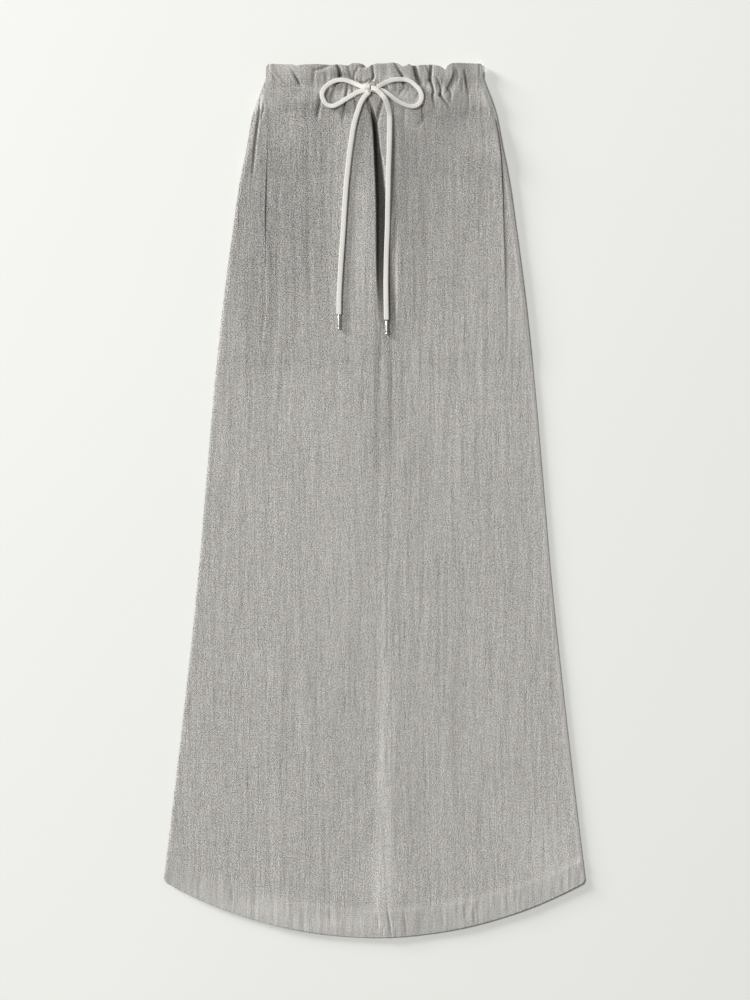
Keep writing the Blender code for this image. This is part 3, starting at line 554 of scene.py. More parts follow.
# The weave: threads, the sizes across and along of its slow changes, and how strongly each shows
CLOTH_TONE = (0.434, 0.421, 0.3965)
CLOTH_GAIN = 0.90
POCKET_TONE = (0.35, 0.335, 0.31)
POCKET_GAIN = 0.7
THREAD_ACROSS = 0.00118
THREAD_ALONG = 0.00124
WARP_RUN = 0.0105
WARP_SEED_STEP = 7.31
WEFT_RUN = 0.0110
WEFT_SEED_STEP = 5.17
NEIGHBOURS = 0.8
GRID_PITCH = 0.00245
SHIFT_SIZE = (0.018, 0.050)
SHIFT_BY = 0.0030
SLUB_SIZE = (0.0016, 0.0110)
SLUB_FROM = 0.66
CLOUD_SIZE = (0.0200, 0.0600)
STREAK_SIZE = (0.0050, 0.0900)
GRID_SIZE = (0.020, 0.034)
GRID_FROM = 0.40
LINE_SIZE = (0.0030, 0.0700)
LINE_FROM = 0.37
TINT_SIZE = (0.0140, 0.0200)
CRINKLE_SIZE = (0.0045, 0.0600)
WIDE_CRINKLE_SIZE = (0.0130, 0.1300)
CROSSING_GAIN = 0.78
WARP_GAIN = 0.62
WEFT_GAIN = 0.36
SLUB_GAIN = 2.2
GRID_GAIN = 0.26
BAND_CALM = 0.40
CLOUD_GAIN = 0.14
STREAK_GAIN = 0.20
LINE_GAIN = 1.5
WARM = (1.018, 0.996, 1.0)
COOL = (0.985, 1.004, 1.004)
# the warmer colour of the painted shade, and how far it turns towards it
IN_SHADE = (1.06, 1.0, 0.90)
SHADE_TINT = 0.8
CRINKLE_HEIGHT = 0.0005
YARN_HEIGHT = 0.00012

# The cord's fibre and soil and the metal's scratches and bloom: sizes across and along
FIBRE_SIZE = (0.0004, 0.0015)
SOIL_SIZE = (0.0060, 0.0300)
SCRATCH_SIZE = (0.0002, 0.0060)
BLOOM_SIZE = (0.0020, 0.0040)

# Colours of the cord, the metal, the thread and the floor: places of a noise and the colour there
CORD_TONES = ((0.0, (0.70, 0.682, 0.635)), (0.5, (0.78, 0.762, 0.715)), (1.0, (0.82, 0.804, 0.76)))
METAL_TONES = ((0.3, (0.62, 0.61, 0.60)), (0.7, (0.80, 0.79, 0.78)))
THREAD_TONES = ((0.3, (0.44, 0.428, 0.405)), (0.7, (0.54, 0.525, 0.50)))
FLOOR_TONES = ((0.3, (0.872, 0.872, 0.842)), (0.7, (0.880, 0.880, 0.850)))
THREAD_GRAIN = 1500.0
FLOOR_GRAIN = 2.0

# The lamps, the sky's soft light and the floor
Lamp = namedtuple("Lamp", "name place size power colour")
KEY_LIGHT = Lamp("key", (-4.6, 2.5, 8.0), 1.7, 490.0, (1.0, 0.995, 0.98))
LOW_LIGHT = Lamp("low", (-8.6, 5.4, 2.3), 2.9, 1400.0, (1.0, 1.0, 1.0))
SKY_COLOUR = (0.98, 0.99, 1.0, 1)
SKY_STRENGTH = 0.24
FLOOR_SIDE = 12.0
FLOOR_DROP = 0.0004
SEED = 7
NOISE_CELLS = 64
NOISE_START = (31.0, 11.0)


# Shapes of lines


def through(at, places, values):
    """The smooth curve through values at places, read at the places in at."""
    places = np.asarray(places, float)
    values = np.asarray(values, float)
    slopes = np.gradient(values, places)
    at = np.clip(at, places[0], places[-1])
    left = np.clip(np.searchsorted(places, at, side="right") - 1, 0, len(places) - 2)
    span = places[left + 1] - places[left]
    t = (at - places[left]) / span
    rise = t * t * (3 - 2 * t)
    return (
        values[left] * (1 - rise)
        + values[left + 1] * rise
        + slopes[left] * span * t * (1 - t) ** 2
        - slopes[left + 1] * span * t * t * (1 - t)
    )


def eased(t):
    """0 below 0, 1 above 1, and smooth between."""
    t = np.clip(t, 0, 1)
    return t * t * (3 - 2 * t)


def bump(away, reach):
    return np.exp(-((away / reach) ** 2))


def window(at, rise, fall):
    """1 between a rise and a fall, which are each a start and a run."""
    return eased((at - rise[0]) / rise[1]) * (1 - eased((at - fall[0]) / fall[1]))


def wander(x, down, across, along, seed):
    """Smooth noise from -1 to 1, with features of a size across and a size along the cloth."""
    table = np.random.default_rng(SEED + seed).uniform(-1, 1, (NOISE_CELLS, NOISE_CELLS))
    a = np.asarray(x, float) / across + NOISE_START[0]
    b = np.asarray(down, float) / along + NOISE_START[1]
    a, b = np.broadcast_arrays(a, b)
    i, j = np.floor(a).astype(int), np.floor(b).astype(int)
    s, t = eased(a - i), eased(b - j)
    i, j = i % NOISE_CELLS, j % NOISE_CELLS
    after_i, after_j = (i + 1) % NOISE_CELLS, (j + 1) % NOISE_CELLS
    low = table[i, j] * (1 - s) + table[after_i, j] * s
    high = table[i, after_j] * (1 - s) + table[after_i, after_j] * s
    return low * (1 - t) + high * t


def wandering(x, down, noises):
    return sum(noise.amount * wander(x, down, noise.across, noise.along, noise.seed) for noise in noises)


def half_width(down):
    return through(down, OUTLINE_DOWN, OUTLINE_HALF)


def relief(down, column):
    return np.interp(down, [row.down for row in RELIEF], [getattr(row, column) for row in RELIEF])


def pleat(down, column):
    """A row of the pleat's table at a place down the cloth, in metres."""
    values = np.array([getattr(row, column) for row in PLEAT])
    values = x_of(values) if column == "lip" else values / 1000 if column == "depth" else values * PIXEL
    return through(down, down_of([row.y for row in PLEAT]), values)


def mouth_line(pocket, down):
    return pocket.side * through(down, MOUTH_DOWN, pocket.line)


def roll(x, down, reach):
    """How far the cloth has turned up from the outline: 0 on it, 1 from reach inside it."""
    inside = np.clip((half_width(down) - np.abs(x)) / reach, 0, 1)
    return np.sqrt(np.maximum(0, 1 - (1 - inside) ** 2))


def edge_reach(down):
    return np.interp(down, ROLL_CHANGE_DOWN, (HEADER_ROLL, EDGE_ROLL))


def x_of(pixel):
    return (np.asarray(pixel, float) - MIDDLE_PX) * PIXEL


def down_of(pixel):
    return (np.asarray(pixel, float) - WAIST_PX) * PIXEL


def hem_stitch(u):
    return LENGTH - HEM_RISE * u**2 - HEM_DEPTH


# The cloth's relief


def settled(x, down):
    """How much of the waist's gathered height is left at a place: the sides lie flatter than the middle."""
    aside = eased((np.abs(x) - SETTLE_FROM) / SETTLE_RUN)
    return 1 - SETTLE_MOST * aside * (1 - eased((down - SETTLE_DOWN) / SETTLE_FADE))


def back_under(x, down):
    """Outside of the back: flat on the surface, and waved where the waist is drawn in."""
    place = (x / half_width(down) + 1) / 2
    uneven = place + BACK_WAVE_SHIFT * np.sin(BACK_WAVE_BEATS * place * np.pi)
    wave = 0.5 - 0.5 * np.cos(2 * np.pi * BACK_WAVES * uneven)
    height = relief(down, "back_wave") * settled(x, down)
    turned = roll(x, down, BACK_ROLL)
    return height * (wave * turned + 0.5 * (1 - turned))


def cloth_of(down):
    """Thickness of one side of the skirt: double in the casing, and single past it."""
    return SINGLE + (DOUBLE - SINGLE) * eased((CASING_DEPTH + CASING_FADE / 2 - down) / CASING_FADE)


def bag_under(x, down):
    return relief(down, "back_wave") * settled(x, down) + cloth_of(down) + GAP


def stack(x, down):
    bags = 1 - eased((down - BAG_END - BAG_PAST) / BAG_FADE)
    return bag_under(x, down) + (POCKET_CLOTH + GAP) * bags


def pleat_depth(x, down):
    inside = (down > down_of(PLEAT[0].y)) & (down < down_of(PLEAT[-1].y))
    depth = np.where(inside, np.maximum(pleat(down, "depth"), 0), 0)
    from_lip = x - pleat(down, "lip")
    falls = eased(from_lip / pleat(down, "run"))
    climbs = eased((from_lip - pleat(down, "width")) / pleat(down, "bank") + 0.5)
    return depth * falls * (1 - climbs)


def lap(x, down):
    """At a pocket mouth the front's edge lies on the cloth beside it."""
    total = np.zeros(np.broadcast(x, down).shape)
    for pocket in POCKETS:
        outward = (x - mouth_line(pocket, down)) * pocket.side
        along = (down - pocket.fold_top) / (pocket.fold_end - pocket.fold_top)
        strength = eased(along / LAP_START) * eased((1 - along) / LAP_END)
        inner = LAP_UP * np.exp(-np.clip(-outward, 0, 1) / LAP_REACH)
        outer = -LAP_DOWN * np.exp(-np.clip(outward, 0, 1) / LAP_REACH)
        total = total + strength * (inner + (outer - inner) * eased(outward / (2 * MOUTH_HALF) + 0.5))
    return total


def fold_path(fold):
    """Even points along a fold, with its depth at each, in metres."""
    marks = np.arange(4)
    at = np.linspace(0, 3, FOLD_STEPS + 1)
    return (
        through(at, marks, x_of(fold.x)),
        through(at, marks, down_of(fold.y)),
        through(at, marks, np.array(fold.depth) / 1000),
    )


def folds(x, down, tight=1.0):
    """How far all the listed folds press the front down; tight narrows them."""
    x, down = np.broadcast_arrays(x, down)
    total = np.zeros(x.shape)
    for fold in FOLDS:
        px, py, depth = fold_path(fold)
        widest = FOLD_SEEN * tight * max(fold.left, fold.right) / 1000
        near = (x > px.min() - widest) & (x < px.max() + widest)
        near &= (down > py.min() - widest) & (down < py.max() + widest)
        if not near.any():
            continue
        ax, ay = x[near], down[near]
        best = np.full(ax.shape, 1.0)
        side = np.zeros(ax.shape)
        deep = np.zeros(ax.shape)
        for k in range(FOLD_STEPS):
            run, drop = px[k + 1] - px[k], py[k + 1] - py[k]
            length2 = run**2 + drop**2
            t = np.clip(((ax - px[k]) * run + (ay - py[k]) * drop) / length2, 0, 1)
            gone_x, gone_y = ax - px[k] - t * run, ay - py[k] - t * drop
            away = np.hypot(gone_x, gone_y)
            closer = away < best
            best = np.where(closer, away, best)
            side = np.where(closer, run * gone_y - drop * gone_x, side)
            deep = np.where(closer, depth[k] + (depth[k + 1] - depth[k]) * t, deep)
        reach = np.where(side > 0, fold.left, fold.right) * tight / 1000
        total[near] += deep * np.exp(-((best / reach) ** 2))
    return total


def shade_of(x, down):
    """Painted shade: 0 on open cloth, up towards 1 at the bottom of the folds and the pleat and along the
    pocket mouths.
    """
    deep = np.maximum(folds(x, down, SHADE_TIGHT), 0) + PLEAT_SHADE * pleat_depth(x, down)
    for pocket in POCKETS:
        along = (down - pocket.fold_top) / (pocket.fold_end - pocket.fold_top)
        fading = 1 - MOUTH_SHADE_LOSS * eased((along - MOUTH_SHADE_LOSS_AT) / MOUTH_SHADE_LOSS_RUN)
        strength = eased(along / MOUTH_SHADE_START) * eased((1 - along) / LAP_END) * fading
        deep = deep + MOUTH_SHADE * strength * bump(x - mouth_line(pocket, down), MOUTH_SHADE_REACH)
    return SHADE_MOST * (1 - np.exp(-((deep / SHADE_DEPTH) ** SHADE_CURVE)))


def painted_light_and_shade_of(x, down):
    """How much lighter the cloth is painted than its middle tone, by its place: darker above, lighter down
    the crease, with painted light and shade in patches and along the edges.
    """
    px, py = MIDDLE_PX + x / PIXEL, WAIST_PX + down / PIXEL
    reach = np.interp(py, CREASE_Y, CREASE_HALF) * PIXEL
    across = 1 - eased((np.abs(x - x_of(CREASE_X)) - reach) / CREASE_SOFT + 0.5)
    total = UPPER_TONE * window(py, UPPER_TONE_IN, UPPER_TONE_OUT)
    total = total + CREASE_TONE * across * window(py, CREASE_IN, CREASE_OUT)
    for patch in PATCHES:
        total = total + patch.amount * bump(px - patch.x, patch.wide) * bump(py - patch.y, patch.tall)
    # painted shade along the left edge, which the turned-down cloth tilts towards the lamps, and painted
    # light along the right edge, its rim and the hem's end, which tilt away
    inside = half_width(down) - np.abs(x)
    past_waist = eased((down - EDGE_TONE_WAIST_FROM) / EDGE_TONE_WAIST_RUN)
    left = EDGE_TONE_LEFT * (EDGE_TONE_WAIST + (1 - EDGE_TONE_WAIST) * past_waist)
    total = total + np.where(x < 0, left, EDGE_TONE_RIGHT) * bump(inside, EDGE_TONE_REACH)
    total = total + np.where(x < 0, 0, EDGE_TONE_RIM) * bump(inside, EDGE_TONE_RIM_REACH)
    below = LENGTH - HEM_RISE * (x / half_width(down)) ** 2 - down
    return total + EDGE_TONE_END * bump(below, EDGE_TONE_END_REACH)


def band_of(x, down):
    """1 where the cloth is double, in the casing and the turned hem."""
    past = down - hem_stitch(x / half_width(down))
    return CASING_BAND * eased((HEADER_END - down) / CASING_BAND_RUN) + eased(past / HEM_BAND_RUN + 0.5)


def gathers(x, down):
    """Small uneven puckers along the two stitch lines of the channel, and the soft ridge between them."""
    tight = PUCKER_LEFT + (1 - PUCKER_LEFT) * eased((x - PUCKER_FROM) / PUCKER_RUN)
    drawn = bump(down - CINCH_DOWN, CINCH_REACH) + bump(down - CHANNEL_TOP, CHANNEL_TOP_REACH)
    drawn = drawn + CHANNEL_END_SHARE * bump(down - CHANNEL_END, CHANNEL_END_REACH)
    puckered = tight * wandering(x, down, PUCKERS) * np.clip(drawn, 0, PUCKER_MOST)
    ridge = eased((down - CHANNEL_TOP) / CHANNEL_RIDGE_RUN) * eased((CHANNEL_END - down) / CHANNEL_RIDGE_RUN)
    return puckered + CHANNEL_RIDGE * ridge - SEAM_SINK * bump(down - CHANNEL_TOP, SEAM_SINK_REACH)


def crinkles(x, down):
    """The fine crinkle of the weave along its length, and the slow swell of cloth laid by hand."""
    return wandering(x, down, CRINKLE) + wandering(x, down, SWELL) * eased((down - SWELL_FROM) / SWELL_RUN)


def hem_relief(x, down):
    """The doubled hem stands up a little behind its stitches, which pucker it."""
    past = down - hem_stitch(x / half_width(down))
    band = HEM_STEP * eased(past / HEM_STEP_RUN + HEM_STEP_AT) - HEM_SINK * bump(past, SEAM_SINK_REACH)
    creased = PUCKER_LEFT + (1 - PUCKER_LEFT) * eased((x - HEM_PUCKER_FROM) / HEM_PUCKER_RUN)
    pucker = creased * wandering(x, past, HEM_PUCKERS) * bump(past - HEM_PUCKER_PAST, HEM_PUCKER_REACH)
    return band + pucker * (past > HEM_PUCKER_START)


def front_top(x, down):
    """The outside of the front."""
    kept = settled(x, down)
    bulge = relief(down, "bulge") * bump(x - BULGE_AT, BULGE_REACH)
    crest = relief(down, "puff") * kept + bulge + lap(x, down) + gathers(x, down) + crinkles(x, down)
    height = crest + hem_relief(x, down) - FOLD_SHARE * folds(x, down) - pleat_depth(x, down)
    pressed = (PRESSED_FROM - FLATTEST) * np.exp(np.minimum(height / PRESSED_FROM - 1, 0))
    height = FLATTEST + np.where(height > PRESSED_FROM, height - FLATTEST, pressed)
    edge = EDGE_SHARE * relief(down, "back_wave") * kept + EDGE_LIFT
    turned = roll(x, down, edge_reach(down))
    return edge + (stack(x, down) + height + cloth_of(down) - edge) * turned


# Making meshes


def link(obj):
    bpy.context.scene.collection.objects.link(obj)
    return obj


def place(name, vertices, faces, uvs=None, values=None):
    """A smooth mesh object; uvs holds a place in metres of cloth for each vertex, values named numbers."""
    faces = np.asarray(faces, np.int32)
    mesh = bpy.data.meshes.new(name)
    mesh.vertices.add(len(vertices))
    mesh.vertices.foreach_set("co", np.asarray(vertices, np.float32).ravel())
    sides = faces.shape[1]
    mesh.loops.add(faces.size)
    mesh.loops.foreach_set("vertex_index", faces.ravel())
    mesh.polygons.add(len(faces))
    mesh.polygons.foreach_set("loop_start", np.arange(0, faces.size, sides, dtype=np.int32))
    if uvs is not None:
        layer = mesh.uv_layers.new(name="cloth")
        layer.data.foreach_set("uv", np.asarray(uvs, np.float32)[faces.ravel()].ravel())
    for key, numbers in (values or {}).items():
        attribute = mesh.attributes.new(key, "FLOAT", "POINT")
        attribute.data.foreach_set("value", np.asarray(numbers, np.float32).ravel())
    mesh.update(calc_edges=True)
    mesh.validate()
    mesh.shade_smooth()
    return link(bpy.data.objects.new(name, mesh))


def grid_faces(rows, columns, open_cells=None):
    index = np.arange(rows * columns).reshape(rows, columns)
    quads = np.stack([index[:-1, :-1], index[1:, :-1], index[1:, 1:], index[:-1, 1:]], axis=-1)
    if open_cells is not None:
        return quads[~open_cells]
    return quads.reshape(-1, 4)


def between(guides, counts):
    """Columns that follow guide lines, with counts of cells from each guide to the next."""
    columns = [guides[0]]
    for left, right, count in zip(guides, guides[1:], counts):
        columns += [left + (right - left) * k / count for k in range(1, count + 1)]
    return np.stack(columns, axis=-1)


def mouth_half(pocket, down):
    """Half the width of a pocket mouth, which closes towards its two ends."""
    along = (down - pocket.mouth_top) / (pocket.mouth_end - pocket.mouth_top)
    return MOUTH_NARROW + (MOUTH_HALF - MOUTH_NARROW) * eased(along / 0.5) * eased((1 - along) / 0.5)


def front_columns(down):
    """Columns of the front at each row, which follow the pocket mouths and the pleat."""
    half = half_width(down)
    lip = pleat(down, "lip")
    low = eased((down - MOUTH_DOWN[-1]) / SIDE_ROOM_RUN)
    at_mouth = np.maximum(down, MOUTH_DOWN[0])
    rooms = []
    for pocket in POCKETS:
        room = half_width(at_mouth) - pocket.side * mouth_line(pocket, at_mouth)
        rooms.append(np.maximum(room, SIDE_ROOM_LEAST) * (1 - low) + SIDE_ROOM_LOW * low)
    left_room, right_room = rooms
    left_slack, right_slack = (mouth_half(pocket, down) for pocket in POCKETS)
    left, right = left_room - half, half - right_room
    guides = [
        -half, RIM_SHARE * left_room - half, SIDE_SHARE * left_room - half,
        left - left_slack, left + left_slack,
        lip - LIP_BEFORE, lip, lip + LIP_RUN, lip + LIP_RUN + LIP_AFTER,
        right - right_slack, right + right_slack,
        half - SIDE_SHARE * right_room, half - RIM_SHARE * right_room, half,
    ]
    return between([guide / half for guide in guides], FRONT_CELLS)


def waist_edge(x):
    return np.maximum(down_of(np.interp(x, x_of(WAIST_EDGE_X), WAIST_EDGE_Y)) + WAIST_EDGE_DROP, 0)


def hem_inset(down, u):
    """How far the outline comes in where the hem's corners are rounded."""
    to_edge = LENGTH - HEM_RISE * u**2 - down
    turn = np.clip(HEM_CORNER - to_edge, 0, HEM_CORNER)
    return HEM_CORNER - np.sqrt(HEM_CORNER**2 - turn**2)


def header_places(columns, rows, edge):
    """x and down of every vertex of a casing, from the waist edge to its stitch line."""
    nominal = HEADER_END * np.linspace(0, 1, rows + 1)
    u = np.repeat(columns[None, :], rows + 1, axis=0)
    down = nominal[:, None] + edge(u * half_width(0)) * (1 - nominal[:, None] / HEADER_END)
    return u * half_width(down), down


def panel_places(columns, panel, hem):
    """x and down of every vertex from the casing's stitch line to the hem."""
    end = LENGTH - HEM_DEPTH
    nominal = np.concatenate([PANEL_TOP + (end - PANEL_TOP) * panel, end + HEM_DEPTH * hem])
    bent = np.concatenate([panel**3, 0 * hem + 1])
    u = columns(nominal)
    down = nominal[:, None] - HEM_RISE * u**2 * bent[:, None]
    return u * (half_width(down) - hem_inset(down, u)), down


def turned_in(x, down, z, surface, turn, thick):
    """Extra rows where the cloth folds over its edge and runs back inside, close under it: x, down, z."""
    at_end = turn is HEM_TURN
    steps, back = np.array(turn).T[:, :, None]
    row = -1 if at_end else 0
    inward = -1 if at_end else 1
    new_down = down[row][None, :] + inward * back / 1000
    new_x = np.repeat(x[row][None, :], len(turn), axis=0)
    under = np.where(back > 0, surface(new_x, new_down), z[row][None, :])
    new_z = under - thick * steps
    parts = ((x, new_x), (down, new_down), (z, new_z))
    return [np.concatenate((old, new) if at_end else (new, old)) for old, new in parts]


def on_cloth(x, down, z):
    """Vertices from places on the cloth and their heights."""
    return np.stack([x, LENGTH / 2 - down, z], axis=-1).reshape(-1, 3)


def cloth_uv(x, down):
    return np.stack([x, -down], axis=-1).reshape(-1, 2)


def open_mouths(x, down):
    """Cells of the front that are open at the pocket mouths."""
    middle_x = (x[:-1, :-1] + x[:-1, 1:] + x[1:, :-1] + x[1:, 1:]) / 4
    middle_down = (down[:-1, :-1] + down[:-1, 1:] + down[1:, :-1] + down[1:, 1:]) / 4
    cut = np.zeros(middle_x.shape, bool)
    for pocket in POCKETS:
        on_line = np.abs(middle_x - mouth_line(pocket, middle_down)) < mouth_half(pocket, middle_down)
        cut |= on_line & (middle_down > pocket.mouth_top) & (middle_down < pocket.mouth_end)
    return cut


def under_casing(down):
    """1 where the panel's top rows lie under the casing's last ones, and 0 below the seam."""
    return 1 - eased((down - HEADER_END + SEAM_STEP) / SEAM_RUN)


def cloth_values(x, down, top, end):
    """The named numbers of a front piece, with the values of its edge on the rows that are turned in."""
    # shade is painted shade, lift is painted light and shade, band is the doubled cloth's calmer weave
    values = {"shade": shade_of(x, down), "lift": painted_light_and_shade_of(x, down), "band": band_of(x, down)}
    return {key: np.pad(value, ((top, end), (0, 0)), mode="edge") for key, value in values.items()}


def build_header():
    """The casing of the front, with the ruffle above the cord."""
    x, down = header_places(np.linspace(-1, 1, HEADER_COLUMNS + 1), HEADER_ROWS, waist_edge)
    z = front_top(x, down)
    values = cloth_values(x, down, len(WAIST_TURN), 0)
    x, down, z = turned_in(x, down, z, front_top, WAIST_TURN, WAIST_TURN_THICK)
    z = np.maximum(z, LOWEST_TURNED)
    return place("front_header", on_cloth(x, down, z), grid_faces(*x.shape), cloth_uv(x, down), values)


def build_front():
    """The front below its casing, down to the hem."""
    panel = np.linspace(0, 1, FRONT_ROWS_PANEL, endpoint=False) ** PANEL_ROW_BIAS
    hem = np.append(np.linspace(0, 1, FRONT_ROWS_HEM, endpoint=False), HEM_LAST_ROWS)
    x, down = panel_places(front_columns, panel, hem)
    z = front_top(x, down) - PANEL_TUCK * under_casing(down)
    values = cloth_values(x, down, 0, len(HEM_TURN))
    cut = open_mouths(x, down)
    x, down, z = turned_in(x, down, z, front_top, HEM_TURN, FRONT_HEM_THICK)
    z = np.maximum(z, LOWEST_TURNED)
    cut = np.pad(cut, ((0, len(HEM_TURN)), (0, 0)))
    return place("front_cloth", on_cloth(x, down, z), grid_faces(*x.shape, cut), cloth_uv(x, down), values)


def back_edge(x):
    return BACK_EDGE + BACK_EDGE_UNEVEN * wander(x, 0 * x, *BACK_EDGE_NOISE)


def back_skin(x, down):
    """The outside of the back, just off the surface, with the waist's puckers."""
    shown = eased((relief(down, "back_wave") - BACK_PUCKERS_FROM) / BACK_PUCKERS_RUN)
    return back_under(x, down) + BACK_PUCKERS * np.abs(gathers(x, down)) * shown + BACK_LIFT


def build_back():
    """The back in two pieces: its casing, and the rest down to the hem."""
    even = np.linspace(-1, 1, BACK_COLUMNS + 1)
    even = np.sign(even) * np.abs(even) ** BACK_COLUMN_BIAS
    panel = np.linspace(0, 1, BACK_ROWS_PANEL, endpoint=False) ** PANEL_ROW_BIAS
    hem = np.linspace(0, 1, BACK_ROWS_HEM + 1)
    casing = header_places(even, BACK_ROWS_CASING, back_edge)
    below = panel_places(lambda at: np.repeat(even[None, :], len(at), axis=0), panel, hem)
    pieces = []
    for name, (x, down), tuck, turn, thick in (
        ("back_header", casing, 0, WAIST_TURN, WAIST_TURN_THICK),
        ("back_cloth", below, BACK_PANEL_TUCK, HEM_TURN, BACK_HEM_THICK),
    ):
        z = back_skin(x, down) + tuck * under_casing(down)
        x, down, z = turned_in(x, down, z, back_skin, turn, -thick)
        faces = grid_faces(*x.shape)[:, ::-1]
        pieces.append(place(name, on_cloth(x, down, z), faces, cloth_uv(x, down)))
    return pieces


def build_bag(pocket):
    """A pocket bag, flat between back and front."""
    share = np.linspace(0, 1, BAG_ROWS)[:, None]
    across = np.linspace(0, 1, BAG_COLUMNS)[None, :]
    down = BAG_TOP + (BAG_END - BAG_TOP) * share + 0 * across
    turn = np.clip(BAG_CORNER - (BAG_END - down), 0, BAG_CORNER)
    inset = (BAG_CORNER - np.sqrt(BAG_CORNER**2 - turn**2)) / 2
    outer = half_width(down) - BAG_INSET - inset
    inner = pocket.side * pocket.bag_inner + inset
    x = pocket.side * (inner + (outer - inner) * across)
    z = bag_under(x, down) + BAG_LIFT + BAG_UNEVEN * wander(x, down, *BAG_NOISE)
    if pocket.side < 0:
        x, down, z = x[:, ::-1], down[:, ::-1], z[:, ::-1]
    return place("bag_" + pocket.name, on_cloth(x, down, z), grid_faces(*x.shape), cloth_uv(x, down))


# Cords


def resting(x, y, radius):
    """Height of the middle of a ball of this radius that lies on the front at a place."""
    turns = np.arange(RESTING_SIDES) * 2 * np.pi / RESTING_SIDES
    rings = np.array(RESTING_RINGS) * radius
    away_x = (rings[:, None] * np.cos(turns)).ravel()
    away_y = (rings[:, None] * np.sin(turns)).ravel()
    down = np.maximum(LENGTH / 2 - np.atleast_1d(y)[:, None] - away_y, 0)
    top = front_top(np.atleast_1d(x)[:, None] + away_x, down)
    return (top + np.sqrt(np.maximum(radius**2 - away_x**2 - away_y**2, 0))).max(axis=1)


def softened(heights, reach):
    """Heights smoothed along a cord, and never below what lies under it near there."""
    wide = np.pad(heights, 2 * reach, mode="edge")
    views = np.lib.stride_tricks.sliding_window_view(wide, 2 * reach + 1)
    highest = views.max(axis=1)
    weights = np.hanning(2 * reach + 3)[1:-1]
    return np.convolve(highest, weights / weights.sum(), mode="valid")


def nearer(across, high):
    """A place moved towards the middle, so that at its height it is seen where its pixel is."""
    return across * (1 - (high - FOCUS_HEIGHT) / CAMERA_DISTANCE)


def lengths_along(points):
    """How far along a line of points each of them is."""
    return np.concatenate([[0], np.cumsum(np.linalg.norm(np.diff(points, axis=0), axis=1))])


def laid(x, y, radius, held):
    """Height of a cord's middle along its way on the front, held up a little by what it crosses."""
    return softened(resting(x, y, radius * CORD_FLAT), SOFTENED_STEPS) + held


def along_route(route, radius):
    """Closely spaced points on a smooth curve through a cord's own places, laid on the front."""
    route = np.array(route)
    places = lengths_along(route)
    even = np.linspace(0, places[-1], int(places[-1] / CORD_STEP) + 1)
    x, y, held = (through(even, places, route[:, axis]) for axis in range(3))
    high = laid(x, y, radius, held)
    x, y = nearer(x, high), nearer(y, high)
    return np.stack([x, y, laid(x, y, radius, held)], axis=1)


def ring_faces(rings, sides):
    """Quads between closed rings of vertices, each ring with the next."""
    index = np.arange(rings * sides).reshape(rings, sides)
    after = np.roll(index, -1, axis=1)
    return np.stack([index[:-1], index[1:], after[1:], after[:-1]], axis=-1).reshape(-1, 4)


def sweep(points, radius):
    """Vertices, faces and cloth places of a flattened tube along points, open at its ends."""
    ways = np.gradient(points, axis=0)
    ways /= np.linalg.norm(ways, axis=1, keepdims=True)
    across = np.cross(ways, (0.0, 0.0, 1.0))
    across /= np.linalg.norm(across, axis=1, keepdims=True)
    high = np.cross(across, ways)
    turn = np.linspace(0, 2 * np.pi, CORD_SIDES, endpoint=False)
    wide = np.sign(np.cos(turn)) * np.abs(np.cos(turn)) ** CORD_SQUARE
    tall = CORD_FLAT * np.sign(np.sin(turn)) * np.abs(np.sin(turn)) ** CORD_SQUARE
    ring = wide[None, :, None] * across[:, None, :] + tall[None, :, None] * high[:, None, :]
    vertices = (points[:, None, :] + radius * ring).reshape(-1, 3)
    u, v = np.meshgrid(turn * radius, lengths_along(points))
    return vertices, ring_faces(len(points), CORD_SIDES), np.stack([u, v], axis=-1).reshape(-1, 2)


def capped(vertices, faces, uvs):
    """A cord with its two ends closed by fans of thin quads round a middle point."""
    count = len(vertices)
    start = count - CORD_SIDES
    middles = [vertices[:CORD_SIDES].mean(axis=0), vertices[start:].mean(axis=0)]
    caps = []
    for a in range(0, CORD_SIDES, 2):
        b, c = a + 1, (a + 2) % CORD_SIDES
        caps.append([count, a, b, c])
        caps.append([count + 1, start + c, start + b, start + a])
    uvs = np.concatenate([uvs, uvs[[0, -1]]])
    return np.concatenate([vertices, middles]), np.concatenate([faces, caps]), uvs


def braided(points, radius):
    """A braided cord along points, open at its ends: its strands stand out of a flattened tube."""
    vertices, faces, uvs = sweep(points, radius)
    vertices = vertices.reshape(len(points), CORD_SIDES, 3)
    turn = np.arange(CORD_SIDES) * 2 * np.pi / CORD_SIDES
    laid_along = 2 * np.pi / BRAID_LAY * uvs.reshape(len(points), CORD_SIDES, 2)[:, :, 1]
    one = np.sin(BRAID_STRANDS / 2 * turn + laid_along)
    two = np.sin(BRAID_STRANDS / 2 * turn - laid_along)
    lift = BRAID_RELIEF * (np.abs(one) + np.abs(two) - 1)
    outward = (vertices - points[:, None, :]) / radius
    return (vertices + outward * lift[:, :, None]).reshape(-1, 3), faces, uvs


def evened(piece, shade=0.0):
    """Keeps on a cord its painted shade, and adds painted shade on its side towards the low light and painted
    light on its far side.
    """
    normals = np.empty(3 * len(piece.data.vertices), np.float32)
    piece.data.vertex_normals.foreach_get("vector", normals)
    way = np.array(LOW_LIGHT.place)
    way = way / np.linalg.norm(way)
    toward = np.tanh(EVEN_STEEP * (normals.reshape(-1, 3) @ way - way[2]))
    own = np.where(toward > 0, PAINTED_SHADE_NEAR, PAINTED_LIGHT_FAR) * toward
    attribute = piece.data.attributes.new("shade", "FLOAT", "POINT")
    attribute.data.foreach_set("value", (1 - (1 - shade) * (1 - own)).astype(np.float32))
    return piece


def build_cord(name, route, radius):
    points = along_route(route, radius)
    return evened(place(name, *capped(*braided(points, radius)))), points


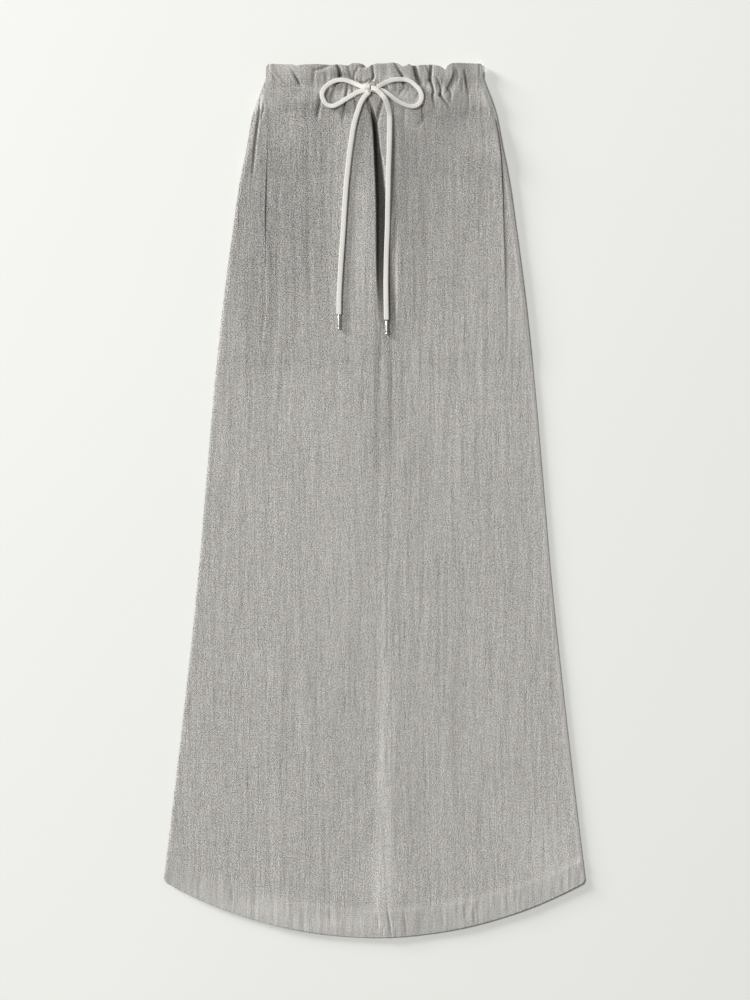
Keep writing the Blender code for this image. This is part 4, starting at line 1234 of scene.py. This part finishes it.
def lathe(name, start, way, profile):
    """A turned piece along way, from (distance, radius) pairs."""
    across = np.cross(way, (0, 0, 1.0))
    across /= np.linalg.norm(across)
    high = np.cross(across, way)
    turn = np.linspace(0, 2 * np.pi, AGLET_SIDES, endpoint=False)
    ring = np.cos(turn)[:, None] * across + np.sin(turn)[:, None] * high
    vertices = np.concatenate([start + way * at + ring * radius for at, radius in profile])
    uvs = np.concatenate([np.stack([turn * AGLET_RADIUS, 0 * turn + at], axis=-1) for at, _ in profile])
    return place(name, vertices, ring_faces(len(profile), AGLET_SIDES), uvs)


def build_aglet(name, points):
    """A small metal tube rolled round the cord's end, with a crimp near each end and an open tip."""
    way = points[-1] - points[-4]
    way = way / np.linalg.norm(way)
    profile = [(0, AGLET_CORE)]
    profile += [(at, AGLET_RADIUS * share) for at, share in AGLET_START]
    profile += [(AGLET_LENGTH - back, AGLET_RADIUS * share) for back, share in AGLET_TIP]
    profile += [(AGLET_LENGTH - AGLET_HOLLOW, AGLET_CORE)]
    return lathe(name, points[-1] - way * AGLET_OVERLAP, way, profile)


def build_knot():
    """The knot of the bow: two turns of cord over the loops' legs, which come out at both sides."""
    x, y = KNOT_AT
    level = resting(x, y, CORD_RADIUS * CORD_FLAT)[0]
    vertices, faces, uvs, dark, count = [], [], [], [], 0
    for shade, run in KNOT_RUNS:
        run = np.array(run) + (x, y, level)
        places = lengths_along(run)
        even = np.linspace(0, places[-1], int(places[-1] / KNOT_STEP) + 2)
        points = np.stack([through(even, places, run[:, axis]) for axis in range(3)], axis=1)
        own_vertices, own_faces, own_uvs = capped(*braided(points, CORD_RADIUS))
        vertices.append(own_vertices)
        faces.append(own_faces + count)
        uvs.append(own_uvs)
        dark.append(np.full(len(own_vertices), shade))
        count += len(own_vertices)
    knot = place("bow_knot", np.concatenate(vertices), np.concatenate(faces), np.concatenate(uvs))
    return evened(knot, np.concatenate(dark))


# Stitching


def build_stitches(name, line_x, line_down):
    """A row of stitches on the front along a line of places."""
    run = np.concatenate([[0], np.cumsum(np.hypot(np.diff(line_x), np.diff(line_down)))])
    middles = np.arange(STITCH_PITCH, run[-1] - STITCH_PITCH, STITCH_PITCH)
    rng = np.random.default_rng(SEED + len(name))
    middles = middles + rng.uniform(-STITCH_UNEVEN, STITCH_UNEVEN, middles.shape)
    places = middles[:, None] + np.array(STITCH_RINGS) * STITCH_LENGTH
    x = np.interp(places, run, line_x)
    down = np.interp(places, run, line_down)
    z = front_top(x, down) + STITCH_LIFT
    way_x, way_y = np.gradient(x, axis=1), -np.gradient(down, axis=1)
    length = np.hypot(way_x, way_y)
    turn = np.linspace(0, 2 * np.pi, STITCH_SIDES, endpoint=False)
    girths = np.array(STITCH_GIRTHS)[:, None]
    across = np.cos(turn) * girths * STITCH_HALF_WIDE
    vx = x[:, :, None] - (way_y / length)[:, :, None] * across
    vy = LENGTH / 2 - down[:, :, None] + (way_x / length)[:, :, None] * across
    vz = z[:, :, None] + np.sin(turn) * girths * STITCH_HALF_TALL
    vertices = np.stack([vx, vy, vz], axis=-1).reshape(-1, 3)
    rings = len(STITCH_RINGS)
    index = np.arange(len(middles) * rings * STITCH_SIDES).reshape(len(middles), rings, STITCH_SIDES)
    after = np.roll(index, -1, axis=2)
    faces = np.stack([index[:, :-1], after[:, :-1], after[:, 1:], index[:, 1:]], axis=-1).reshape(-1, 4)
    return place(name, vertices, faces)


# Materials


class Nodes:
    """Short names for making and joining the nodes of one material."""

    def __init__(self, name):
        self.material = bpy.data.materials.new(name)
        self.material.use_nodes = True
        self.tree = self.material.node_tree
        self.shader = self.tree.nodes["Principled BSDF"]

    def add(self, kind, **settings):
        node = self.tree.nodes.new(kind)
        for key, value in settings.items():
            if hasattr(node, key) and not isinstance(getattr(node, key), bpy.types.bpy_prop_collection):
                setattr(node, key, value)
            else:
                node.inputs[key].default_value = value
        return node

    def join(self, output, entry):
        self.tree.links.new(output, entry)

    def put(self, value, entry):
        """A number is set on an entry, and an output is joined to it."""
        if isinstance(value, (int, float)):
            entry.default_value = value
        else:
            self.join(value, entry)

    def math(self, operation, a, b=None, clamp=False):
        node = self.tree.nodes.new("ShaderNodeMath")
        node.operation = operation
        node.use_clamp = clamp
        self.put(a, node.inputs[0])
        if b is not None:
            self.put(b, node.inputs[1])
        return node.outputs[0]

    def plus(self, a, b):
        return self.math("ADD", a, b)

    def minus(self, a, b):
        return self.math("SUBTRACT", a, b)

    def times(self, a, b):
        return self.math("MULTIPLY", a, b)

    def over(self, a, b):
        """How far a is over b, and 0 where it isn't."""
        return self.math("MAXIMUM", self.minus(a, b), 0.0)

    def named(self, name):
        """A number kept on the mesh."""
        return self.add("ShaderNodeAttribute", attribute_name=name).outputs["Fac"]

    def scaled(self, colour, value):
        node = self.add("ShaderNodeVectorMath", operation="SCALE")
        self.join(colour, node.inputs[0])
        self.join(value, node.inputs["Scale"])
        return node.outputs[0]

    def finished(self, **entries):
        """The material, with these numbers and outputs in the shader's entries."""
        for key, value in entries.items():
            self.put(value, self.shader.inputs[key.replace("_", " ")])
        return self.material

    def places(self, across, along):
        """The cloth's own places, scaled so that a noise of scale 1 has features of these sizes."""
        uv = self.add("ShaderNodeUVMap", uv_map="cloth")
        scale = self.add("ShaderNodeMapping")
        scale.inputs["Scale"].default_value = (1 / across, 1 / along, 1)
        self.join(uv.outputs[0], scale.inputs[0])
        return scale.outputs[0]

    def noise(self, across, along, detail=2.0, roughness=0.5):
        node = self.add("ShaderNodeTexNoise", Scale=1.0, Detail=detail, Roughness=roughness)
        self.join(self.places(across, along), node.inputs["Vector"])
        return node.outputs["Fac"]

    def grain(self, scale):
        """A noise in the object's own places."""
        node = self.add("ShaderNodeTexNoise", Scale=scale)
        self.join(self.add("ShaderNodeTexCoord").outputs["Object"], node.inputs["Vector"])
        return node.outputs["Fac"]

    def centred(self, value, gain):
        """A noise moved to be about 0, times gain."""
        return self.times(self.minus(value, 0.5), gain)

    def ramp(self, value, stops):
        node = self.tree.nodes.new("ShaderNodeValToRGB")
        while len(node.color_ramp.elements) < len(stops):
            node.color_ramp.elements.new(0.5)
        for element, (at, colour) in zip(node.color_ramp.elements, stops):
            element.position = at
            element.color = (*colour, 1)
        self.join(value, node.inputs[0])
        return node.outputs[0]

    def bumped(self, height, distance, under=None):
        node = self.add("ShaderNodeBump", Strength=1.0, Distance=distance)
        self.join(height, node.inputs["Height"])
        if under is not None:
            self.join(under, node.inputs["Normal"])
        return node.outputs[0]


def weave_material(name, tone, gain):
    """Loose plain weave of heathered yarn, thick and thin along its threads, crinkled along its length, with
    the painted shade and painted light that its mesh carries.
    """
    n = Nodes(name)
    uv = n.add("ShaderNodeUVMap", uv_map="cloth")
    wander_by = n.add("ShaderNodeTexNoise", Scale=1.0, Detail=1.0)
    n.join(n.places(*SHIFT_SIZE), wander_by.inputs["Vector"])
    shift = n.add("ShaderNodeVectorMath", operation="MULTIPLY_ADD")
    n.join(wander_by.outputs["Color"], shift.inputs[0])
    shift.inputs[1].default_value = (SHIFT_BY, SHIFT_BY, 0)
    n.join(uv.outputs[0], shift.inputs[2])
    parts = n.add("ShaderNodeSeparateXYZ")
    n.join(shift.outputs[0], parts.inputs[0])
    cloth_x, cloth_y = parts.outputs[0], parts.outputs[1]
    column = n.math("FLOOR", n.math("DIVIDE", cloth_x, THREAD_ACROSS))
    row = n.math("FLOOR", n.math("DIVIDE", cloth_y, THREAD_ALONG))

    def combined(a, b):
        node = n.add("ShaderNodeCombineXYZ")
        n.join(a, node.inputs[0])
        n.join(b, node.inputs[1])
        return node.outputs[0]

    def crossing_at(aside, below):
        node = n.add("ShaderNodeTexWhiteNoise", noise_dimensions="2D")
        n.join(combined(n.plus(column, aside), n.plus(row, below)), node.inputs["Vector"])
        return node.outputs["Value"]

    def thread_noise(a, b):
        node = n.add("ShaderNodeTexNoise", noise_dimensions="2D", Scale=1.0, Detail=1.0)
        n.join(combined(a, b), node.inputs["Vector"])
        return node.outputs["Fac"]

    def warp_at(aside):
        moved = n.times(n.plus(column, aside), WARP_SEED_STEP)
        return thread_noise(moved, n.math("DIVIDE", cloth_y, WARP_RUN))

    # each crossing stands out from its neighbours, as a thread over and a thread under do
    sides = n.plus(crossing_at(-1.0, 0.0), crossing_at(1.0, 0.0))
    ends = n.plus(crossing_at(0.0, -1.0), crossing_at(0.0, 1.0))
    around = n.times(n.plus(sides, ends), NEIGHBOURS / 4)
    crossing = n.plus(n.minus(crossing_at(0.0, 0.0), around), NEIGHBOURS / 2)
    beside = n.times(n.plus(warp_at(-1.0), warp_at(1.0)), NEIGHBOURS / 4)
    warp = n.plus(n.minus(warp_at(0.0), beside), NEIGHBOURS / 4)
    weft = thread_noise(n.math("DIVIDE", cloth_x, WEFT_RUN), n.times(row, WEFT_SEED_STEP))
    slub = n.over(n.noise(*SLUB_SIZE, detail=1.0), SLUB_FROM)

    # the yarn's own light and dark, calmer where the cloth is double, and the faint grid in it
    yarn = n.plus(n.centred(crossing, CROSSING_GAIN * gain), n.centred(warp, WARP_GAIN * gain))
    yarn = n.plus(yarn, n.centred(weft, WEFT_GAIN * gain))
    yarn = n.plus(yarn, n.times(slub, SLUB_GAIN * gain))
    yarn = n.times(yarn, n.minus(1.0, n.times(n.named("band"), BAND_CALM)))
    grid_x = n.math("COSINE", n.times(cloth_x, 2 * math.pi / GRID_PITCH))
    grid_y = n.math("COSINE", n.times(cloth_y, 2 * math.pi / GRID_PITCH))
    clear = n.over(n.noise(*GRID_SIZE, detail=1.0), GRID_FROM)
    yarn = n.plus(yarn, n.times(n.plus(grid_x, grid_y), n.times(clear, GRID_GAIN * gain)))

    # slower changes, and the painted light and painted shade that the mesh carries
    line = n.over(LINE_FROM, n.noise(*LINE_SIZE, detail=1.0))
    cloud = n.centred(n.noise(*CLOUD_SIZE, detail=3.0, roughness=0.6), CLOUD_GAIN)
    streak = n.centred(n.noise(*STREAK_SIZE, detail=2.0, roughness=0.6), STREAK_GAIN)
    broad = n.minus(n.plus(cloud, streak), n.times(line, LINE_GAIN))
    shade = n.named("shade")
    value = n.times(n.plus(n.plus(yarn, broad), n.plus(n.named("lift"), 1.0)), n.minus(1.0, shade))

    # painted shade turns the colour warmer as it darkens it
    warm, cool, in_shade = (tuple(map(float, np.multiply(tone, by))) for by in (WARM, COOL, IN_SHADE))
    tinted = n.add("ShaderNodeMix", data_type="RGBA", blend_type="MIX")
    n.join(n.times(shade, SHADE_TINT), tinted.inputs["Factor"])
    hue = n.ramp(n.noise(*TINT_SIZE, detail=2.0, roughness=0.6), ((0.35, warm), (0.65, cool)))
    n.join(hue, tinted.inputs["A"])
    tinted.inputs["B"].default_value = (*in_shade, 1)
    crinkle = n.centred(n.noise(*CRINKLE_SIZE, detail=3.0, roughness=0.55), 1.0)
    wide = n.centred(n.noise(*WIDE_CRINKLE_SIZE, detail=2.0, roughness=0.5), 1.1)
    return n.finished(
        Base_Color=n.scaled(tinted.outputs["Result"], value),
        Normal=n.bumped(yarn, YARN_HEIGHT, n.bumped(n.plus(crinkle, wide), CRINKLE_HEIGHT)),
        Roughness=n.plus(n.times(warp, 0.10), 0.84),
        Specular_IOR_Level=0.25,
        Sheen_Weight=0.10,
        Sheen_Roughness=0.5,
    )


def cord_material(name):
    """Off-white braided cotton: strands crossing both ways, with fine fibre along them."""
    n = Nodes(name)
    parts = n.add("ShaderNodeSeparateXYZ")
    n.join(n.add("ShaderNodeUVMap", uv_map="cloth").outputs[0], parts.inputs[0])
    around = n.times(parts.outputs[0], BRAID_STRANDS / CORD)
    along = n.times(parts.outputs[1], 2 * math.pi / BRAID_LAY)
    one = n.math("ABSOLUTE", n.math("SINE", n.plus(around, along)))
    two = n.math("ABSOLUTE", n.math("SINE", n.minus(around, along)))
    strands = n.times(one, two)
    fibre = n.noise(*FIBRE_SIZE, detail=3.0, roughness=0.6)
    soil = n.noise(*SOIL_SIZE, detail=2.0, roughness=0.6)
    value = n.plus(n.times(strands, 0.35), n.centred(fibre, 0.5))
    value = n.math("ADD", value, n.times(soil, 0.5), clamp=True)
    # the mesh's painted shade darkens the cord, and its painted light lightens it
    return n.finished(
        Base_Color=n.scaled(n.ramp(value, CORD_TONES), n.minus(1.0, n.named("shade"))),
        Normal=n.bumped(n.plus(n.times(strands, 0.7), n.centred(fibre, 0.6)), 0.00025),
        Roughness=n.plus(n.times(fibre, 0.12), 0.70),
        Specular_IOR_Level=0.2,
        Sheen_Weight=0.04,
    )


def metal_material(name):
    """Bright thin metal with faint scratches along it and a duller bloom in patches."""
    n = Nodes(name)
    scratch = n.noise(*SCRATCH_SIZE, detail=3.0, roughness=0.6)
    bloom = n.noise(*BLOOM_SIZE, detail=2.0, roughness=0.6)
    roughness = n.plus(n.times(scratch, 0.25), 0.18)
    colour = n.ramp(bloom, METAL_TONES)
    return n.finished(Base_Color=colour, Metallic=1.0, Roughness=roughness, Normal=n.bumped(scratch, 0.00004))


def thread_material(name):
    n = Nodes(name)
    return n.finished(Base_Color=n.ramp(n.grain(THREAD_GRAIN), THREAD_TONES), Roughness=0.75)


def floor_material(name):
    n = Nodes(name)
    colour = n.ramp(n.grain(FLOOR_GRAIN), FLOOR_TONES)
    return n.finished(Base_Color=colour, Roughness=0.95, Specular_IOR_Level=0.1)


# The scene


def aim(obj, at):
    way = np.array(at) - np.array(obj.location)
    flat = math.hypot(way[0], way[1])
    obj.rotation_euler = (math.atan2(flat, -way[2]), 0, math.atan2(way[1], way[0]) - math.pi / 2)


def build_camera():
    data = bpy.data.cameras.new("camera")
    data.lens = LENS_MM
    data.sensor_width = SENSOR_MM
    camera = link(bpy.data.objects.new("camera", data))
    camera.location = ((FRAME_MIDDLE_PX - MIDDLE_PX) * PIXEL, 0, CAMERA_DISTANCE + FOCUS_HEIGHT)
    data.clip_start, data.clip_end = CAMERA_CLIP
    bpy.context.scene.camera = camera


def build_light():
    scene = bpy.context.scene
    scene.view_settings.view_transform = "Standard"
    world = bpy.data.worlds.new("studio")
    world.use_nodes = True
    sky = world.node_tree.nodes["Background"]
    sky.inputs[0].default_value = SKY_COLOUR
    sky.inputs[1].default_value = SKY_STRENGTH
    scene.world = world
    for lamp in (KEY_LIGHT, LOW_LIGHT):
        light = bpy.data.lights.new(lamp.name, "AREA")
        light.size = lamp.size
        light.energy = lamp.power
        light.color = lamp.colour
        obj = link(bpy.data.objects.new(lamp.name, light))
        obj.location = lamp.place
        aim(obj, (0, 0, 0))


def build_floor():
    corners = ((-1, -1), (1, -1), (1, 1), (-1, 1))
    vertices = [(FLOOR_SIDE * x, FLOOR_SIDE * y, -FLOOR_DROP) for x, y in corners]
    floor = place("floor", vertices, [(0, 1, 2, 3)])
    floor.data.materials.append(floor_material("floor_paper"))


def dress(obj, material):
    obj.data.materials.clear()
    obj.data.materials.append(material)
    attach(obj, "root")
    return obj


def main():
    build_camera()
    cord = cord_material("braided_cord")
    metal = metal_material("thin_metal")
    weave = weave_material("heathered_weave", CLOTH_TONE, CLOTH_GAIN)
    lining = weave_material("pocket_weave", POCKET_TONE, POCKET_GAIN)
    thread = thread_material("sewing_thread")

    for side, route in (("left", LOOP_LEFT), ("right", LOOP_RIGHT)):
        loop, points = build_cord("loop_" + side, route, LOOP_RADIUS)
        dress(loop, cord)
        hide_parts("drawstring_loop_" + side)
    for side, route in (("left", TAIL_LEFT), ("right", TAIL_RIGHT)):
        tail, points = build_cord("tail_" + side, route, TAIL_RADIUS)
        dress(tail, cord)
        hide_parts("drawstring_tail_" + side)
        aglet = dress(build_aglet("cord_end_" + side, points), metal)
        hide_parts("aglet_" + side)
    knot = dress(build_knot(), cord)
    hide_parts("drawstring_knot")

    header = dress(build_header(), weave)
    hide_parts("front_casing")
    front = dress(build_front(), weave)
    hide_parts("front_panel", "front_hem")
    back_header, back = (dress(piece, weave) for piece in build_back())
    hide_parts("back_casing")
    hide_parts("back_panel", "back_hem")
    for pocket in POCKETS:
        bag = dress(build_bag(pocket), lining)
        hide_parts("pocket_" + pocket.name)

    seams = []
    even = np.linspace(-STITCHED_WIDTH, STITCHED_WIDTH, STITCH_LINE_STEPS)
    for name, at in (("stitches_channel_top", CHANNEL_TOP), ("stitches_channel_end", CHANNEL_END)):
        seams.append(build_stitches(name, even * half_width(at), 0 * even + at))
    down = hem_stitch(even)
    seams.append(build_stitches("stitches_hem", even * half_width(down), down))
    for seam in seams:
        dress(seam, thread)

    build_floor()
    build_light()


main()
